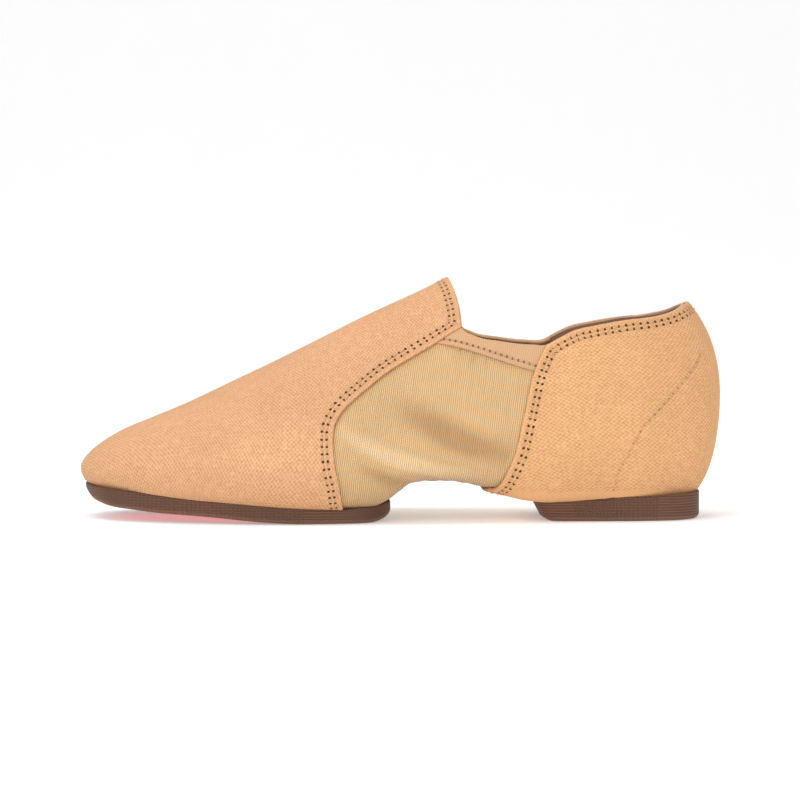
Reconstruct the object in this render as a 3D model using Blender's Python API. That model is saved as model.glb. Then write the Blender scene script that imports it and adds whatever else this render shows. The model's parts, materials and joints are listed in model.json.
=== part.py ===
"""Jazz shoe for the left foot: a stretch upper with canvas covers on a split sole.

The toe points along -X, the heel along +X, the outer side of the foot faces -Y
and +Z is up. Every length is in metres. The shoe stands on z = 0 with the
centre of its box on the Z axis.
"""

import math

import bmesh
import bpy
import numpy as np

# Driving sizes of the last, measured over the canvas
LENGTH = 0.245
BALL_WIDTH = 0.088
HEEL_WIDTH = 0.0635
INSTEP_HEIGHT = 0.091
HEEL_HEIGHT = 0.0821
ARCH_HEIGHT = 0.0125
TOE_SPRING = 0.0120
HEEL_SEAT = 0.0070
FOREPART_SEAT = 0.0036

# Sheet thicknesses and fits
FIT = 0.0003
CANVAS = 0.0010
WALL = 0.0012
BAND_THICKNESS = 0.0014
INSOLE_THICKNESS = 0.0018
LASTING_MARGIN = 0.0090
MEDIAL_ADVANCE = 0.0040

# Sole pads
PAD_EDGE = 0.0018
HEEL_FRONT_SLOPE = 0.0055
INSERT_THICKNESS = 0.0016
INSERT_RECESS = 0.0002
GROOVE_WIDTH = 0.0046
GROOVE_DEPTH = 0.0012
GROOVE_INSET = 0.0070

# Offsets of each sheet from the outer form, worked out from the sizes above
COVER_INNER = -CANVAS
SHELL_OUTER = COVER_INNER - FIT
SHELL_INNER = SHELL_OUTER - WALL
INSOLE_LOWER = SHELL_INNER - FIT
INSOLE_UPPER = INSOLE_LOWER - INSOLE_THICKNESS
BAND_OUTER = COVER_INNER + BAND_THICKNESS
PAD_PLATEAU = INSOLE_LOWER + FIT

# Sections of the last from the toe to the waist. Columns: where the widest
# point is along the length, where its section meets the middle, lateral and
# medial half widths and tuck as shares of the ball width, height of the widest
# point and of the ridge as shares of the instep height, and fullness.
FOREPART = (
    (0.000, 0.090, 0.000, 0.000, 0.114, 0.203, 0.391, 1.00),
    (0.016, 0.098, 0.170, 0.140, 0.114, 0.205, 0.399, 1.00),
    (0.057, 0.122, 0.312, 0.273, 0.119, 0.212, 0.425, 0.96),
    (0.122, 0.163, 0.446, 0.368, 0.131, 0.218, 0.471, 0.90),
    (0.212, 0.224, 0.535, 0.423, 0.148, 0.220, 0.548, 0.80),
    (0.318, 0.318, 0.574, 0.426, 0.148, 0.220, 0.669, 0.72),
    (0.424, 0.424, 0.556, 0.389, 0.153, 0.226, 0.813, 0.66),
    (0.522, 0.522, 0.509, 0.362, 0.170, 0.250, 0.936, 0.62),
)
# Sections from the waist to the heel: the same columns, with the widths as
# shares of the heel width and the heights as shares of the heel height. The
# ridge is the unseen top of the section, above the collar.
BACKPART = (
    (0.612, 0.612, 0.679, 0.480, 0.220, 0.311, 1.157, 0.64),
    (0.702, 0.698, 0.657, 0.464, 0.189, 0.335, 1.206, 0.74),
    (0.800, 0.776, 0.588, 0.488, 0.165, 0.365, 1.218, 0.86),
    (0.882, 0.824, 0.537, 0.463, 0.173, 0.402, 1.181, 0.96),
    (0.947, 0.849, 0.427, 0.351, 0.197, 0.475, 1.133, 1.04),
    (0.984, 0.861, 0.280, 0.214, 0.213, 0.530, 1.108, 1.07),
    (1.000, 0.865, 0.000, 0.000, 0.220, 0.554, 1.102, 1.08),
)

# Lines over the side, each row a share of the length and one of the instep
# height. The collar runs from the throat peak down to the band and back up to
# the heel.
COLLAR = (
    (0.5747, 1.000), (0.5796, 0.980), (0.5861, 0.931), (0.5914, 0.868),
    (0.5943, 0.805), (0.6118, 0.774), (0.6563, 0.745), (0.7012, 0.732),
    (0.7249, 0.733), (0.7429, 0.758), (0.7665, 0.789), (0.8024, 0.811),
    (0.8473, 0.832), (0.8918, 0.846), (0.9237, 0.868), (0.9482, 0.902),
)
VAMP_EDGE = (
    (0.4159, 0.066), (0.4057, 0.185), (0.4000, 0.270), (0.3980, 0.356),
    (0.4041, 0.430), (0.4180, 0.482), (0.4494, 0.555), (0.4894, 0.636),
    (0.5608, 0.750), (0.5943, 0.805),
)
QUARTER_EDGE = (
    (0.6359, 0.119), (0.6535, 0.159), (0.6686, 0.240), (0.6804, 0.335),
    (0.6918, 0.471), (0.7069, 0.632), (0.7131, 0.671), (0.7245, 0.733),
)
BAND_LOWER_EDGE = (
    (0.5200, 0.760), (0.5551, 0.741), (0.5971, 0.716), (0.6416, 0.679),
    (0.6861, 0.641), (0.7069, 0.626), (0.7600, 0.590),
)
# Underside of the form: share of the length, then shares of the toe spring,
# the forepart seat, the arch height and the heel seat that add up there.
UNDERSIDE = (
    (0.000, 1.05, 0.30, 0.00, 0.00), (0.020, 0.84, 0.50, 0.00, 0.00),
    (0.041, 0.61, 0.80, 0.00, 0.00), (0.093, 0.39, 1.00, 0.00, 0.00),
    (0.212, 0.20, 1.00, 0.00, 0.00), (0.330, 0.02, 1.00, 0.00, 0.00),
    (0.440, 0.00, 1.00, 0.00, 0.00), (0.470, 0.00, 1.00, 0.10, 0.00),
    (0.493, 0.00, 1.00, 0.32, 0.00), (0.516, 0.00, 0.60, 0.70, 0.00),
    (0.543, 0.00, 0.00, 1.00, 0.00), (0.571, 0.00, 0.00, 1.00, 0.00),
    (0.600, 0.00, 0.00, 0.80, 0.26), (0.625, 0.00, 0.00, 0.45, 0.70),
    (0.656, 0.00, 0.00, 0.12, 1.04), (0.690, 0.00, 0.00, 0.00, 1.06),
    (0.740, 0.00, 0.00, 0.00, 1.00), (1.000, 0.00, 0.00, 0.00, 1.00),
)
# How far the edge of the underside stands above its middle, as shares of the
# arch height: share of the length, lateral, medial.
WAIST_LIFT = (
    (0.00, 0.00, 0.00), (0.40, 0.00, 0.00), (0.46, 0.04, 0.20),
    (0.54, 0.16, 0.55), (0.60, 0.20, 0.60), (0.66, 0.12, 0.35),
    (0.72, 0.00, 0.08), (0.78, 0.00, 0.00), (1.00, 0.00, 0.00),
)
# Ground side of the forepart pad: share of the length, share of the toe spring.
TREAD = (
    (0.000, 1.00), (0.012, 0.80), (0.022, 0.64), (0.041, 0.50), (0.093, 0.36),
    (0.212, 0.19), (0.300, 0.04), (0.345, 0.00), (0.450, 0.00), (0.470, 0.05),
    (0.490, 0.22), (0.520, 0.60),
)
# Upper edge of the two pads: share of the length, share of the toe spring,
# share of the forepart seat, share of the heel seat.
PAD_RIM = (
    (0.000, 0.86, 0.75, 0.00), (0.030, 0.80, 0.75, 0.00), (0.073, 0.68, 0.95, 0.00),
    (0.172, 0.42, 1.30, 0.00), (0.290, 0.20, 1.25, 0.00), (0.410, 0.00, 1.45, 0.00),
    (0.490, 0.00, 1.90, 0.00), (0.690, 0.00, 0.00, 1.38), (0.860, 0.00, 0.00, 1.34),
    (0.965, 0.00, 0.00, 1.62), (1.000, 0.00, 0.00, 1.75),
)
# Outlines seen from below, each row a share of the length and a share of the
# ball width measured from the middle line, negative on the lateral side.
FOREPART_OUTLINE = (
    (0.0085, 0.000), (0.0110, -0.090), (0.0400, -0.255), (0.1080, -0.383),
    (0.2140, -0.468), (0.3060, -0.504), (0.3900, -0.492), (0.4560, -0.425),
    (0.4820, -0.300), (0.4840, -0.140), (0.4740, 0.050), (0.4480, 0.180),
    (0.4080, 0.275), (0.3550, 0.338), (0.2800, 0.368), (0.1900, 0.360),
    (0.1120, 0.318), (0.0550, 0.255), (0.0180, 0.140),
)
INSERT_OUTLINE = (
    (0.0500, -0.118), (0.0620, -0.172), (0.1140, -0.266), (0.1840, -0.345),
    (0.2700, -0.400), (0.3220, -0.405), (0.3560, -0.340), (0.3740, -0.220),
    (0.3760, -0.105), (0.3600, 0.003), (0.3220, 0.098), (0.2700, 0.145),
    (0.2000, 0.140), (0.1300, 0.092), (0.0780, 0.050), (0.0560, 0.035),
)
HEEL_OUTLINE = (
    (0.7030, -0.0600), (0.7035, -0.2900), (0.7080, -0.3200), (0.7200, -0.3400),
    (0.7600, -0.3460), (0.8200, -0.3420), (0.8780, -0.3270), (0.9330, -0.2780),
    (0.9600, -0.1980), (0.9690, -0.0900), (0.9690, 0.0000), (0.9580, 0.1100),
    (0.9350, 0.1970), (0.9020, 0.2460), (0.8500, 0.2620), (0.7900, 0.2560),
    (0.7400, 0.2430), (0.7190, 0.2330), (0.7080, 0.2150), (0.7035, 0.1800),
)

# Mesh resolution
VAMP_LINES = 14
PEAK_LINE = 10
GUSSET_LINES = 9
QUARTER_LINES = 11
WALL_LEVELS = 8
BAND_LEVELS = 2
TUCK_LEVELS = 3
OUTLINE_STEPS = 44
HALVINGS = 24

LATERAL = -1
MEDIAL = 1
LAST_LINE = VAMP_LINES + GUSSET_LINES + QUARTER_LINES
GUSSET_END = VAMP_LINES + GUSSET_LINES
FRONT_HOLE_END = VAMP_LINES - 1
HEEL_HOLE_START = GUSSET_END + 3
TOP_LEVEL = WALL_LEVELS + BAND_LEVELS
FLOOR_LEVELS = 3


def clear_scene():
    """Remove every object that the file opened with."""
    for thing in list(bpy.data.objects):
        bpy.data.objects.remove(thing, do_unlink=True)


class Curve:
    """Smooth curve through a table's rows, each a place and one or more values."""

    def __init__(self, table):
        rows = np.array(table, dtype=float)
        self.places, self.values = rows[:, 0], rows[:, 1:]
        steps = np.diff(self.places)[:, None]
        chords = np.diff(self.values, axis=0) / steps
        blend = steps[1:] / (steps[1:] + steps[:-1])
        inner = blend * chords[:-1] + (1.0 - blend) * chords[1:]
        inner[chords[:-1] * chords[1:] <= 0.0] = 0.0
        self.slopes = np.vstack((chords[:1], inner, chords[-1:]))

    def read(self, where):
        """All the values at one place."""
        places, values, slopes = self.places, self.values, self.slopes
        where = min(max(where, places[0]), places[-1])
        k = min(max(int(np.searchsorted(places, where)) - 1, 0), len(places) - 2)
        width = places[k + 1] - places[k]
        t = (where - places[k]) / width
        start = (2 * t**3 - 3 * t**2 + 1) * values[k] + (t**3 - 2 * t**2 + t) * width * slopes[k]
        end = (3 * t**2 - 2 * t**3) * values[k + 1] + (t**3 - t**2) * width * slopes[k + 1]
        return start + end

    def at(self, where):
        """The first value at one place."""
        return float(self.read(where)[0])


def catmull(before, start, end, after, t):
    """Blend four neighbouring rows of a closed table."""
    return 0.5 * (
        2 * start + (end - before) * t
        + (2 * before - 5 * start + 4 * end - after) * t**2
        + (3 * start - before - 3 * end + after) * t**3
    )


def last_rows(side):
    """Turn the section tables into metres: x, axis x, y, tuck, wide z, ridge z, fullness."""
    rows = []
    for table, width, height in ((FOREPART, BALL_WIDTH, INSTEP_HEIGHT),
                                 (BACKPART, HEEL_WIDTH, HEEL_HEIGHT)):
        for wide_x, axis_x, lateral, medial, tuck, wide_z, ridge_z, fullness in table:
            half = -lateral if side == LATERAL else medial
            rows.append((wide_x * LENGTH, axis_x * LENGTH, half * width, tuck * width,
                         wide_z * height, ridge_z * height, fullness))
    return rows


def closed_loop():
    """Join the lateral and medial rows into one loop round toe and heel."""
    lateral, medial = last_rows(LATERAL), last_rows(MEDIAL)
    return np.array(lateral + medial[-2:0:-1], dtype=float)


LOOP = closed_loop()
LAST_ROW = len(FOREPART) + len(BACKPART) - 1
COLLAR_CURVE = Curve(COLLAR)
BAND_CURVE = Curve(BAND_LOWER_EDGE)
UNDERSIDE_CURVE = Curve(UNDERSIDE)
WAIST_CURVE = Curve(WAIST_LIFT)
TREAD_CURVE = Curve(TREAD)
RIM_CURVE = Curve(PAD_RIM)
RIDGE_CURVE = Curve([(row[1] * LENGTH, row[6] * INSTEP_HEIGHT) for row in FOREPART])


def section(side, place):
    """Read the last at a place between row 0, the toe, and the last row, the heel."""
    along = place if side == LATERAL else len(LOOP) - place
    k = int(math.floor(along))
    total = len(LOOP)
    return catmull(LOOP[(k - 1) % total], LOOP[k % total], LOOP[(k + 1) % total],
                   LOOP[(k + 2) % total], along - k)


def underside(x):
    """Height of the middle of the form's underside."""
    spring, seat, arch, heel = UNDERSIDE_CURVE.read(x / LENGTH)
    return spring * TOE_SPRING + seat * FOREPART_SEAT + arch * ARCH_HEIGHT + heel * HEEL_SEAT


def waist_lift(side, x):
    """Extra height of the underside's edge at the waist."""
    lateral, medial = WAIST_CURVE.read(x / LENGTH)
    return (lateral if side == LATERAL else medial) * ARCH_HEIGHT


def ridge_slope(axis_x):
    """Slope of the ridge line over the vamp, for the sections that lean at the toe."""
    step = 0.02 * LENGTH
    return (RIDGE_CURVE.at(axis_x + step) - RIDGE_CURVE.at(axis_x)) / step


def form_point(side, place, rise):
    """Point of the outer form: rise -1 is the feather line, 0 the widest, 1 the ridge."""
    wide_x, axis_x, wide_y, tuck, wide_z, ridge_z, fullness = section(side, place)
    inward = np.array([axis_x - wide_x, -wide_y])
    reach = float(np.hypot(*inward))
    if rise < 0.0:
        angle = -rise * math.pi / 2
        share = min(tuck / reach, 0.9) * (1.0 - math.cos(angle))
        foot = np.array([wide_x, wide_y]) + inward * min(tuck / reach, 0.9)
        floor = underside(foot[0]) + waist_lift(side, foot[0])
        z = wide_z - (wide_z - floor) * math.sin(angle)
    else:
        angle = rise * math.pi / 2
        share = (1.0 - math.cos(angle)) ** fullness
        lean = max(axis_x - wide_x, 0.0) * ridge_slope(axis_x)
        z = wide_z + (ridge_z - wide_z - lean) * math.sin(angle) + lean * share
    x, y = np.array([wide_x, wide_y]) + inward * share
    return np.array([x, y, z])


def collar_height(x):
    """Height of the collar line at x; the ridge is not cut in front of the throat."""
    if x <= COLLAR[0][0] * LENGTH:
        return 2.0 * INSTEP_HEIGHT
    return COLLAR_CURVE.at(x / LENGTH) * INSTEP_HEIGHT


def bisect(low, high, above):
    """Halve an interval until the place where the test turns true is found."""
    for _ in range(HALVINGS):
        middle = 0.5 * (low + high)
        if above(middle):
            high = middle
        else:
            low = middle
    return 0.5 * (low + high)


def top_rise(side, place):
    """Rise at which a section is cut by the collar line."""
    def above(rise):
        x, _, z = form_point(side, place, rise)
        return z > collar_height(x)
    return bisect(0.2, 1.0, above) if above(0.9999) else 1.0


def place_at(side, x, rise):
    """Section whose point at this rise lies at x."""
    return bisect(0.0, float(LAST_ROW), lambda place: form_point(side, place, rise)[0] > x)


def rise_at(side, x, z):
    """Place and rise of the point of the form seen at x and z from the side."""
    rise = bisect(-1.0, 1.0, lambda r: form_point(side, place_at(side, x, r), r)[2] > z)
    return place_at(side, x, rise), rise


def side_line(side, table):
    """Turn a line drawn on the side into rows of (level, place); level 1 is the collar."""
    shift = -MEDIAL_ADVANCE if side == MEDIAL and table is QUARTER_EDGE else 0.0
    found = [rise_at(side, share_x * LENGTH + shift, share_z * INSTEP_HEIGHT)
             for share_x, share_z in table]
    end_place = found[-1][0]
    top = top_rise(side, end_place)
    rows = [(-1.0, found[0][0])]
    for place, rise in found[1:-1]:
        level = rise if rise < 0.0 else rise / top
        if rows[-1][0] + 0.02 < level < 0.98:
            rows.append((level, place))
    rows.append((1.0, end_place))
    return Curve(rows)


class Grid:
    """All the points of the outer form, one line of them for each station."""

    def __init__(self):
        self.vamp = {side: side_line(side, VAMP_EDGE) for side in (LATERAL, MEDIAL)}
        self.quarter = {side: side_line(side, QUARTER_EDGE) for side in (LATERAL, MEDIAL)}
        self.peak = place_at(LATERAL, COLLAR[0][0] * LENGTH, 1.0)
        self.points, self.index, self.faces = [], {}, {}
        self.feather = {}
        for side in (LATERAL, MEDIAL):
            for line in range(LAST_LINE + 1):
                self.add_line(side, line)
        for line in range(LAST_LINE + 1):
            self.add_floor(line)
        self.add_faces()
        self.points = np.array(self.points)
        self.normals = self.find_normals()

    def place(self, side, line, level):
        """Where a line crosses a level, as a place along the last."""
        vamp = self.vamp[side].at(level)
        quarter = self.quarter[side].at(level)
        if line <= VAMP_LINES:
            share = line / VAMP_LINES
            corner = self.vamp[side].at(1.0)
            top = self.peak * line / PEAK_LINE
            if line > PEAK_LINE:
                step = (line - PEAK_LINE) / (VAMP_LINES - PEAK_LINE)
                top = self.peak + (corner - self.peak) * step
            mix = max(level, 0.0) ** 1.5
            return vamp * (share + (top / corner - share) * mix)
        if line <= GUSSET_END:
            return vamp + (quarter - vamp) * (line - VAMP_LINES) / GUSSET_LINES
        share = (line - GUSSET_END) / QUARTER_LINES
        return quarter + (LAST_ROW - quarter) * share

    def band_level(self, side, line):
        """Level of the band's lower edge on a line."""
        line = min(max(line, VAMP_LINES), GUSSET_END)
        top = top_rise(side, self.place(side, line, 1.0))

        def above(level):
            x, _, z = form_point(side, self.place(side, line, level), level * top)
            return z > BAND_CURVE.at(x / LENGTH) * INSTEP_HEIGHT
        return bisect(0.3, 1.0, above)

    def key(self, side, line, level):
        """One name for points that both sides share."""
        if line in (0, LAST_LINE) or (level == TOP_LEVEL and line <= PEAK_LINE):
            side = 0
        return side, line, level

    def keep(self, key, point):
        """Store a point once."""
        if key not in self.index:
            self.index[key] = len(self.points)
            self.points.append(point)

    def add_line(self, side, line):
        """Points of one line from the feather, level -TUCK_LEVELS, to the top."""
        top = top_rise(side, self.place(side, line, 1.0))
        band = self.band_level(side, line)
        for step in range(-TUCK_LEVELS, TOP_LEVEL + 1):
            if step < 0:
                level = step / TUCK_LEVELS
                rise = level
            elif step <= WALL_LEVELS:
                level = band * step / WALL_LEVELS
                rise = level * top
            else:
                level = band + (1.0 - band) * (step - WALL_LEVELS) / BAND_LEVELS
                rise = level * top
            point = form_point(side, self.place(side, line, level), rise)
            self.keep(self.key(side, line, step), point)
            if step == -TUCK_LEVELS:
                self.feather[side, line] = (point, self.place(side, line, level))

    def add_floor(self, line):
        """Points of the underside, from both feather lines to the middle."""
        (left, left_place), (right, right_place) = (self.feather[s, line] for s in (LATERAL, MEDIAL))
        axis = 0.5 * (section(LATERAL, left_place)[1] + section(MEDIAL, right_place)[1])
        middle = np.array([axis, 0.5 * (left[1] + right[1]), underside(axis)])
        for side, edge in ((LATERAL, left), (MEDIAL, right)):
            reach = float(np.hypot(*(middle - edge)[:2]))
            margin = min(LASTING_MARGIN / reach, 0.6)
            for step in range(1, FLOOR_LEVELS):
                share = margin + (1.0 - margin) * (step - 1) / (FLOOR_LEVELS - 1)
                point = edge + (middle - edge) * share
                lift = waist_lift(side, point[0]) * (1.0 - share) ** 2
                point[2] = underside(point[0]) + lift
                self.keep(self.key(side, line, -TUCK_LEVELS - step), point)
        self.keep((0, line, -TUCK_LEVELS - FLOOR_LEVELS), middle)

    def number(self, side, line, level):
        """Index of a point."""
        if level == -TUCK_LEVELS - FLOOR_LEVELS:
            return self.index[0, line, level]
        return self.index[self.key(side, line, level)]

    def add_faces(self):
        """One face for each cell, with its outer side out."""
        for side in (LATERAL, MEDIAL):
            for line in range(LAST_LINE):
                for level in range(-TUCK_LEVELS - FLOOR_LEVELS, TOP_LEVEL):
                    corners = [self.number(side, line, level), self.number(side, line + 1, level),
                               self.number(side, line + 1, level + 1),
                               self.number(side, line, level + 1)]
                    if side == MEDIAL:
                        corners.reverse()
                    self.faces[side, line, level] = corners

    def find_normals(self):
        """Outward directions at the points, averaged over their faces."""
        total = np.zeros_like(self.points)
        for corners in self.faces.values():
            a, b, c, d = (self.points[n] for n in corners)
            total[corners] += np.cross(c - a, d - b)
        return total / np.linalg.norm(total, axis=1)[:, None]

    def cells(self, wanted):
        """Faces of the cells that a test accepts."""
        return [corners for cell, corners in self.faces.items() if wanted(*cell)]


def finish_mesh(name, points, faces, smooth_angle=35.0):
    """Make an object from points and faces, welded and shaded smooth."""
    mesh = bpy.data.meshes.new(name)
    mesh.from_pydata([tuple(p) for p in points], [], [tuple(f) for f in faces])
    mesh.update()
    work = bmesh.new()
    work.from_mesh(mesh)
    loose = [v for v in work.verts if not v.link_faces]
    bmesh.ops.delete(work, geom=loose, context="VERTS")
    bmesh.ops.triangulate(work, faces=work.faces[:], quad_method="BEAUTY")
    work.to_mesh(mesh)
    work.free()
    mesh.shade_smooth()
    mesh.set_sharp_from_angle(angle=math.radians(smooth_angle))
    thing = bpy.data.objects.new(name, mesh)
    bpy.context.scene.collection.objects.link(thing)
    return thing


def sheet_solid(name, points, normals, faces, outer, inner):
    """Thicken a sheet of faces between two offsets along its normals."""
    used = sorted({n for face in faces for n in face})
    number = {n: k for k, n in enumerate(used)}
    count = len(used)
    verts = [points[n] + normals[n] * outer for n in used]
    verts += [points[n] + normals[n] * inner for n in used]
    solid, edges = [], {}
    for face in faces:
        ring = [number[n] for n in dict.fromkeys(face)]
        solid.append(ring)
        solid.append([n + count for n in reversed(ring)])
        for a, b in zip(ring, ring[1:] + ring[:1]):
            edges[a, b] = True
    for a, b in edges:
        if (b, a) not in edges:
            solid.append([b, a, a + count, b + count])
    return finish_mesh(name, verts, solid)


def closed_form(name, grid, offset_of):
    """The whole form as one closed body, each point moved out by its own offset."""
    shifts = np.array([offset_of(n) for n in range(len(grid.points))])
    verts = list(grid.points + grid.normals * shifts[:, None])
    faces = [list(dict.fromkeys(face)) for face in grid.faces.values()]
    edges = {(a, b) for face in faces for a, b in zip(face, face[1:] + face[:1])}
    rim = [(b, a) for a, b in edges if (b, a) not in edges]
    middle = len(verts)
    verts.append(np.mean([verts[a] for a, _ in rim], axis=0))
    faces += [[a, b, middle] for a, b in rim]
    return finish_mesh(name, verts, faces)


def outline_points(table, steps):
    """Smooth closed outline through a table's rows, in even steps, in metres."""
    rows = np.array([(x * LENGTH, y * BALL_WIDTH) for x, y in table])
    around = np.vstack((rows[-3:], rows, rows[:4]))
    reach = np.concatenate(([0.0], np.cumsum(np.linalg.norm(np.diff(around, axis=0), axis=1))))
    curve = Curve(np.column_stack((reach, around)))
    fine = np.array([curve.read(place)
                     for place in np.linspace(reach[3], reach[-4], 12 * steps + 1)])
    walked = np.concatenate(([0.0], np.cumsum(np.linalg.norm(np.diff(fine, axis=0), axis=1))))
    stops = np.arange(steps) * walked[-1] / steps
    return np.column_stack([np.interp(stops, walked, fine[:, k]) for k in (0, 1)])


def inset(outline, distance):
    """Move an outline that runs anticlockwise seen from below inward."""
    ahead = np.roll(outline, -1, axis=0) - np.roll(outline, 1, axis=0)
    ahead /= np.linalg.norm(ahead, axis=1)[:, None]
    inward = np.column_stack((-ahead[:, 1], ahead[:, 0]))
    middle = outline.mean(axis=0)
    if np.sum(inward * (middle - outline)) < 0:
        inward = -inward
    return outline + inward * distance


def layered_solid(name, rings):
    """Closed body through rings of points, with strips across its two ends."""
    count = len(rings[0])
    verts = [point for ring in rings for point in ring]
    faces = []
    for layer in range(len(rings) - 1):
        low, high = layer * count, (layer + 1) * count
        for k in range(count):
            n = (k + 1) % count
            faces.append([low + k, low + n, high + n, high + k])
    for base, flip in ((0, True), ((len(rings) - 1) * count, False)):
        for k in range(count // 2):
            strip = [base + k, base + k + 1, base + (count - k - 1) % count, base + (count - k) % count]
            strip = list(dict.fromkeys(strip))
            if len(strip) > 2:
                faces.append(strip[::-1] if flip else strip)
    thing = finish_mesh(name, verts, faces)
    work = bmesh.new()
    work.from_mesh(thing.data)
    bmesh.ops.recalc_face_normals(work, faces=work.faces[:])
    work.to_mesh(thing.data)
    work.free()
    return thing


def tread_height(x):
    """Ground side of the forepart pad."""
    return TREAD_CURVE.at(x / LENGTH) * TOE_SPRING


def rim_height(x):
    """Upper edge of a pad."""
    spring, seat, heel = RIM_CURVE.read(x / LENGTH)
    return spring * TOE_SPRING + seat * FOREPART_SEAT + heel * HEEL_SEAT


def ring_at(outline, height):
    """Give an outline its height, a number or a function of x."""
    return [(x, y, height(x) if callable(height) else height) for x, y in outline]


def cut(target, cutter, name):
    """Subtract a cutter from a body and leave the cutter as a hidden guide."""
    modifier = target.modifiers.new(name, "BOOLEAN")
    modifier.operation = "DIFFERENCE"
    modifier.solver = "EXACT"
    modifier.object = cutter
    cutter.hide_render = True
    cutter.display_type = "WIRE"


def make_forepart_pad(form):
    """Rubber pad under the ball and toes, cupped round the edge of the upper."""
    outline = outline_points(FOREPART_OUTLINE, OUTLINE_STEPS)
    half_edge = 0.5 * PAD_EDGE
    pad = layered_solid("outsole_forefoot", [
        ring_at(inset(outline, PAD_EDGE), tread_height),
        ring_at(inset(outline, 0.3 * PAD_EDGE), lambda x: tread_height(x) + half_edge),
        ring_at(outline, lambda x: tread_height(x) + PAD_EDGE),
        ring_at(outline, rim_height),
    ])
    cut(pad, form, "seat_of_upper")
    recess = outline_points(INSERT_OUTLINE, OUTLINE_STEPS)
    pocket = layered_solid("insert_pocket", [
        ring_at(inset(recess, -FIT), lambda x: tread_height(x) - PAD_EDGE),
        ring_at(inset(recess, -FIT), lambda x: tread_height(x) + INSERT_RECESS
                + INSERT_THICKNESS + FIT),
    ])
    cut(pad, pocket, "pocket")
    insert = layered_solid("pivot_insert", [
        ring_at(recess, lambda x: tread_height(x) + INSERT_RECESS),
        ring_at(recess, lambda x: tread_height(x) + INSERT_RECESS + INSERT_THICKNESS),
    ])
    return pad, insert


def slope_front(outline, shift):
    """Push the front line of the heel back by a shift that fades along the pad."""
    front = outline[:, 0].min()
    fade = np.clip(1.0 - (outline[:, 0] - front) / (6.0 * HEEL_FRONT_SLOPE), 0.0, 1.0)
    moved = outline.copy()
    moved[:, 0] += shift * fade
    return moved


def make_heel_pad(form):
    """Rubber heel with a sloping front and a horseshoe groove in its tread."""
    outline = outline_points(HEEL_OUTLINE, OUTLINE_STEPS)
    half_edge = 0.5 * PAD_EDGE
    heel = layered_solid("outsole_heel", [
        ring_at(slope_front(inset(outline, PAD_EDGE), HEEL_FRONT_SLOPE), 0.0),
        ring_at(slope_front(inset(outline, 0.3 * PAD_EDGE), HEEL_FRONT_SLOPE), half_edge),
        ring_at(slope_front(outline, 0.75 * HEEL_FRONT_SLOPE), PAD_EDGE),
        ring_at(outline, rim_height),
    ])
    cut(heel, form, "seat_of_upper")
    outer = inset(outline, GROOVE_INSET)
    inner = inset(outline, GROOVE_INSET + GROOVE_WIDTH)
    front = outline[:, 0].min() + GROOVE_INSET + HEEL_FRONT_SLOPE
    path = [k for k in range(OUTLINE_STEPS) if outer[k, 0] > front and inner[k, 0] > front]
    start = next(k for k in path if (k - 1) % OUTLINE_STEPS not in path)
    path = [(start + k) % OUTLINE_STEPS for k in range(len(path))]
    verts, faces = [], []
    for k in path:
        for x, y in (outer[k], inner[k]):
            verts += [(x, y, -GROOVE_DEPTH), (x, y, GROOVE_DEPTH)]
    for n in range(len(path) - 1):
        a, b = 4 * n, 4 * n + 4
        for low, high in ((0, 1), (1, 3), (3, 2), (2, 0)):
            faces.append([a + low, a + high, b + high, b + low])
    end = 4 * (len(path) - 1)
    faces += [[0, 2, 3, 1], [end, end + 1, end + 3, end + 2]]
    groove = finish_mesh("heel_groove", verts, faces)
    work = bmesh.new()
    work.from_mesh(groove.data)
    bmesh.ops.recalc_face_normals(work, faces=work.faces[:])
    work.to_mesh(groove.data)
    work.free()
    cut(heel, groove, "groove")
    return heel


def in_hole(line, level):
    """Cells of the underside that a pad closes instead of the upper."""
    floor = level < -TUCK_LEVELS - 1
    return floor and (line < FRONT_HOLE_END or line >= HEEL_HOLE_START)


def make_band(grid, side):
    """Folded stretch band along the top of the gusset on one side."""
    lines = range(VAMP_LINES, GUSSET_END + 1)
    points, normals, number = [], [], {}
    for line in lines:
        for level in range(WALL_LEVELS, TOP_LEVEL + 1):
            here = grid.number(side, line, level)
            point, normal = grid.points[here], grid.normals[here]
            if line in (VAMP_LINES, GUSSET_END):
                beside = line + 1 if line == VAMP_LINES else line - 1
                other = grid.points[grid.number(side, beside, level)]
                gap = other - point
                point = point + gap * (2.0 * FIT / np.linalg.norm(gap))
            number[line, level] = len(points)
            points.append(point)
            normals.append(normal)
    faces = []
    for line in list(lines)[:-1]:
        for level in range(WALL_LEVELS, TOP_LEVEL):
            corners = [number[line, level], number[line + 1, level],
                       number[line + 1, level + 1], number[line, level + 1]]
            faces.append(corners if side == LATERAL else corners[::-1])
    name = "band_lateral" if side == LATERAL else "band_medial"
    return sheet_solid(name, np.array(points), np.array(normals), faces, BAND_OUTER, COVER_INNER)


def material(name, colour, roughness, metallic=0.0):
    """Principled material with a plain colour."""
    made = bpy.data.materials.new(name)
    made.use_nodes = True
    shader = made.node_tree.nodes["Principled BSDF"]
    shader.inputs["Base Color"].default_value = (*colour, 1.0)
    shader.inputs["Roughness"].default_value = roughness
    shader.inputs["Metallic"].default_value = metallic
    made.diffuse_color = (*colour, 1.0)
    return made


def stand_on_origin(things):
    """Centre the box of all bodies on the Z axis with its lowest point at z = 0."""
    graph = bpy.context.evaluated_depsgraph_get()
    corners = []
    for thing in things:
        mesh = thing.evaluated_get(graph).to_mesh()
        corners += [tuple(v.co) for v in mesh.vertices]
    corners = np.array(corners)
    low, high = corners.min(axis=0), corners.max(axis=0)
    return np.array([-(low[0] + high[0]) / 2, -(low[1] + high[1]) / 2, -low[2]])


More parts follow.
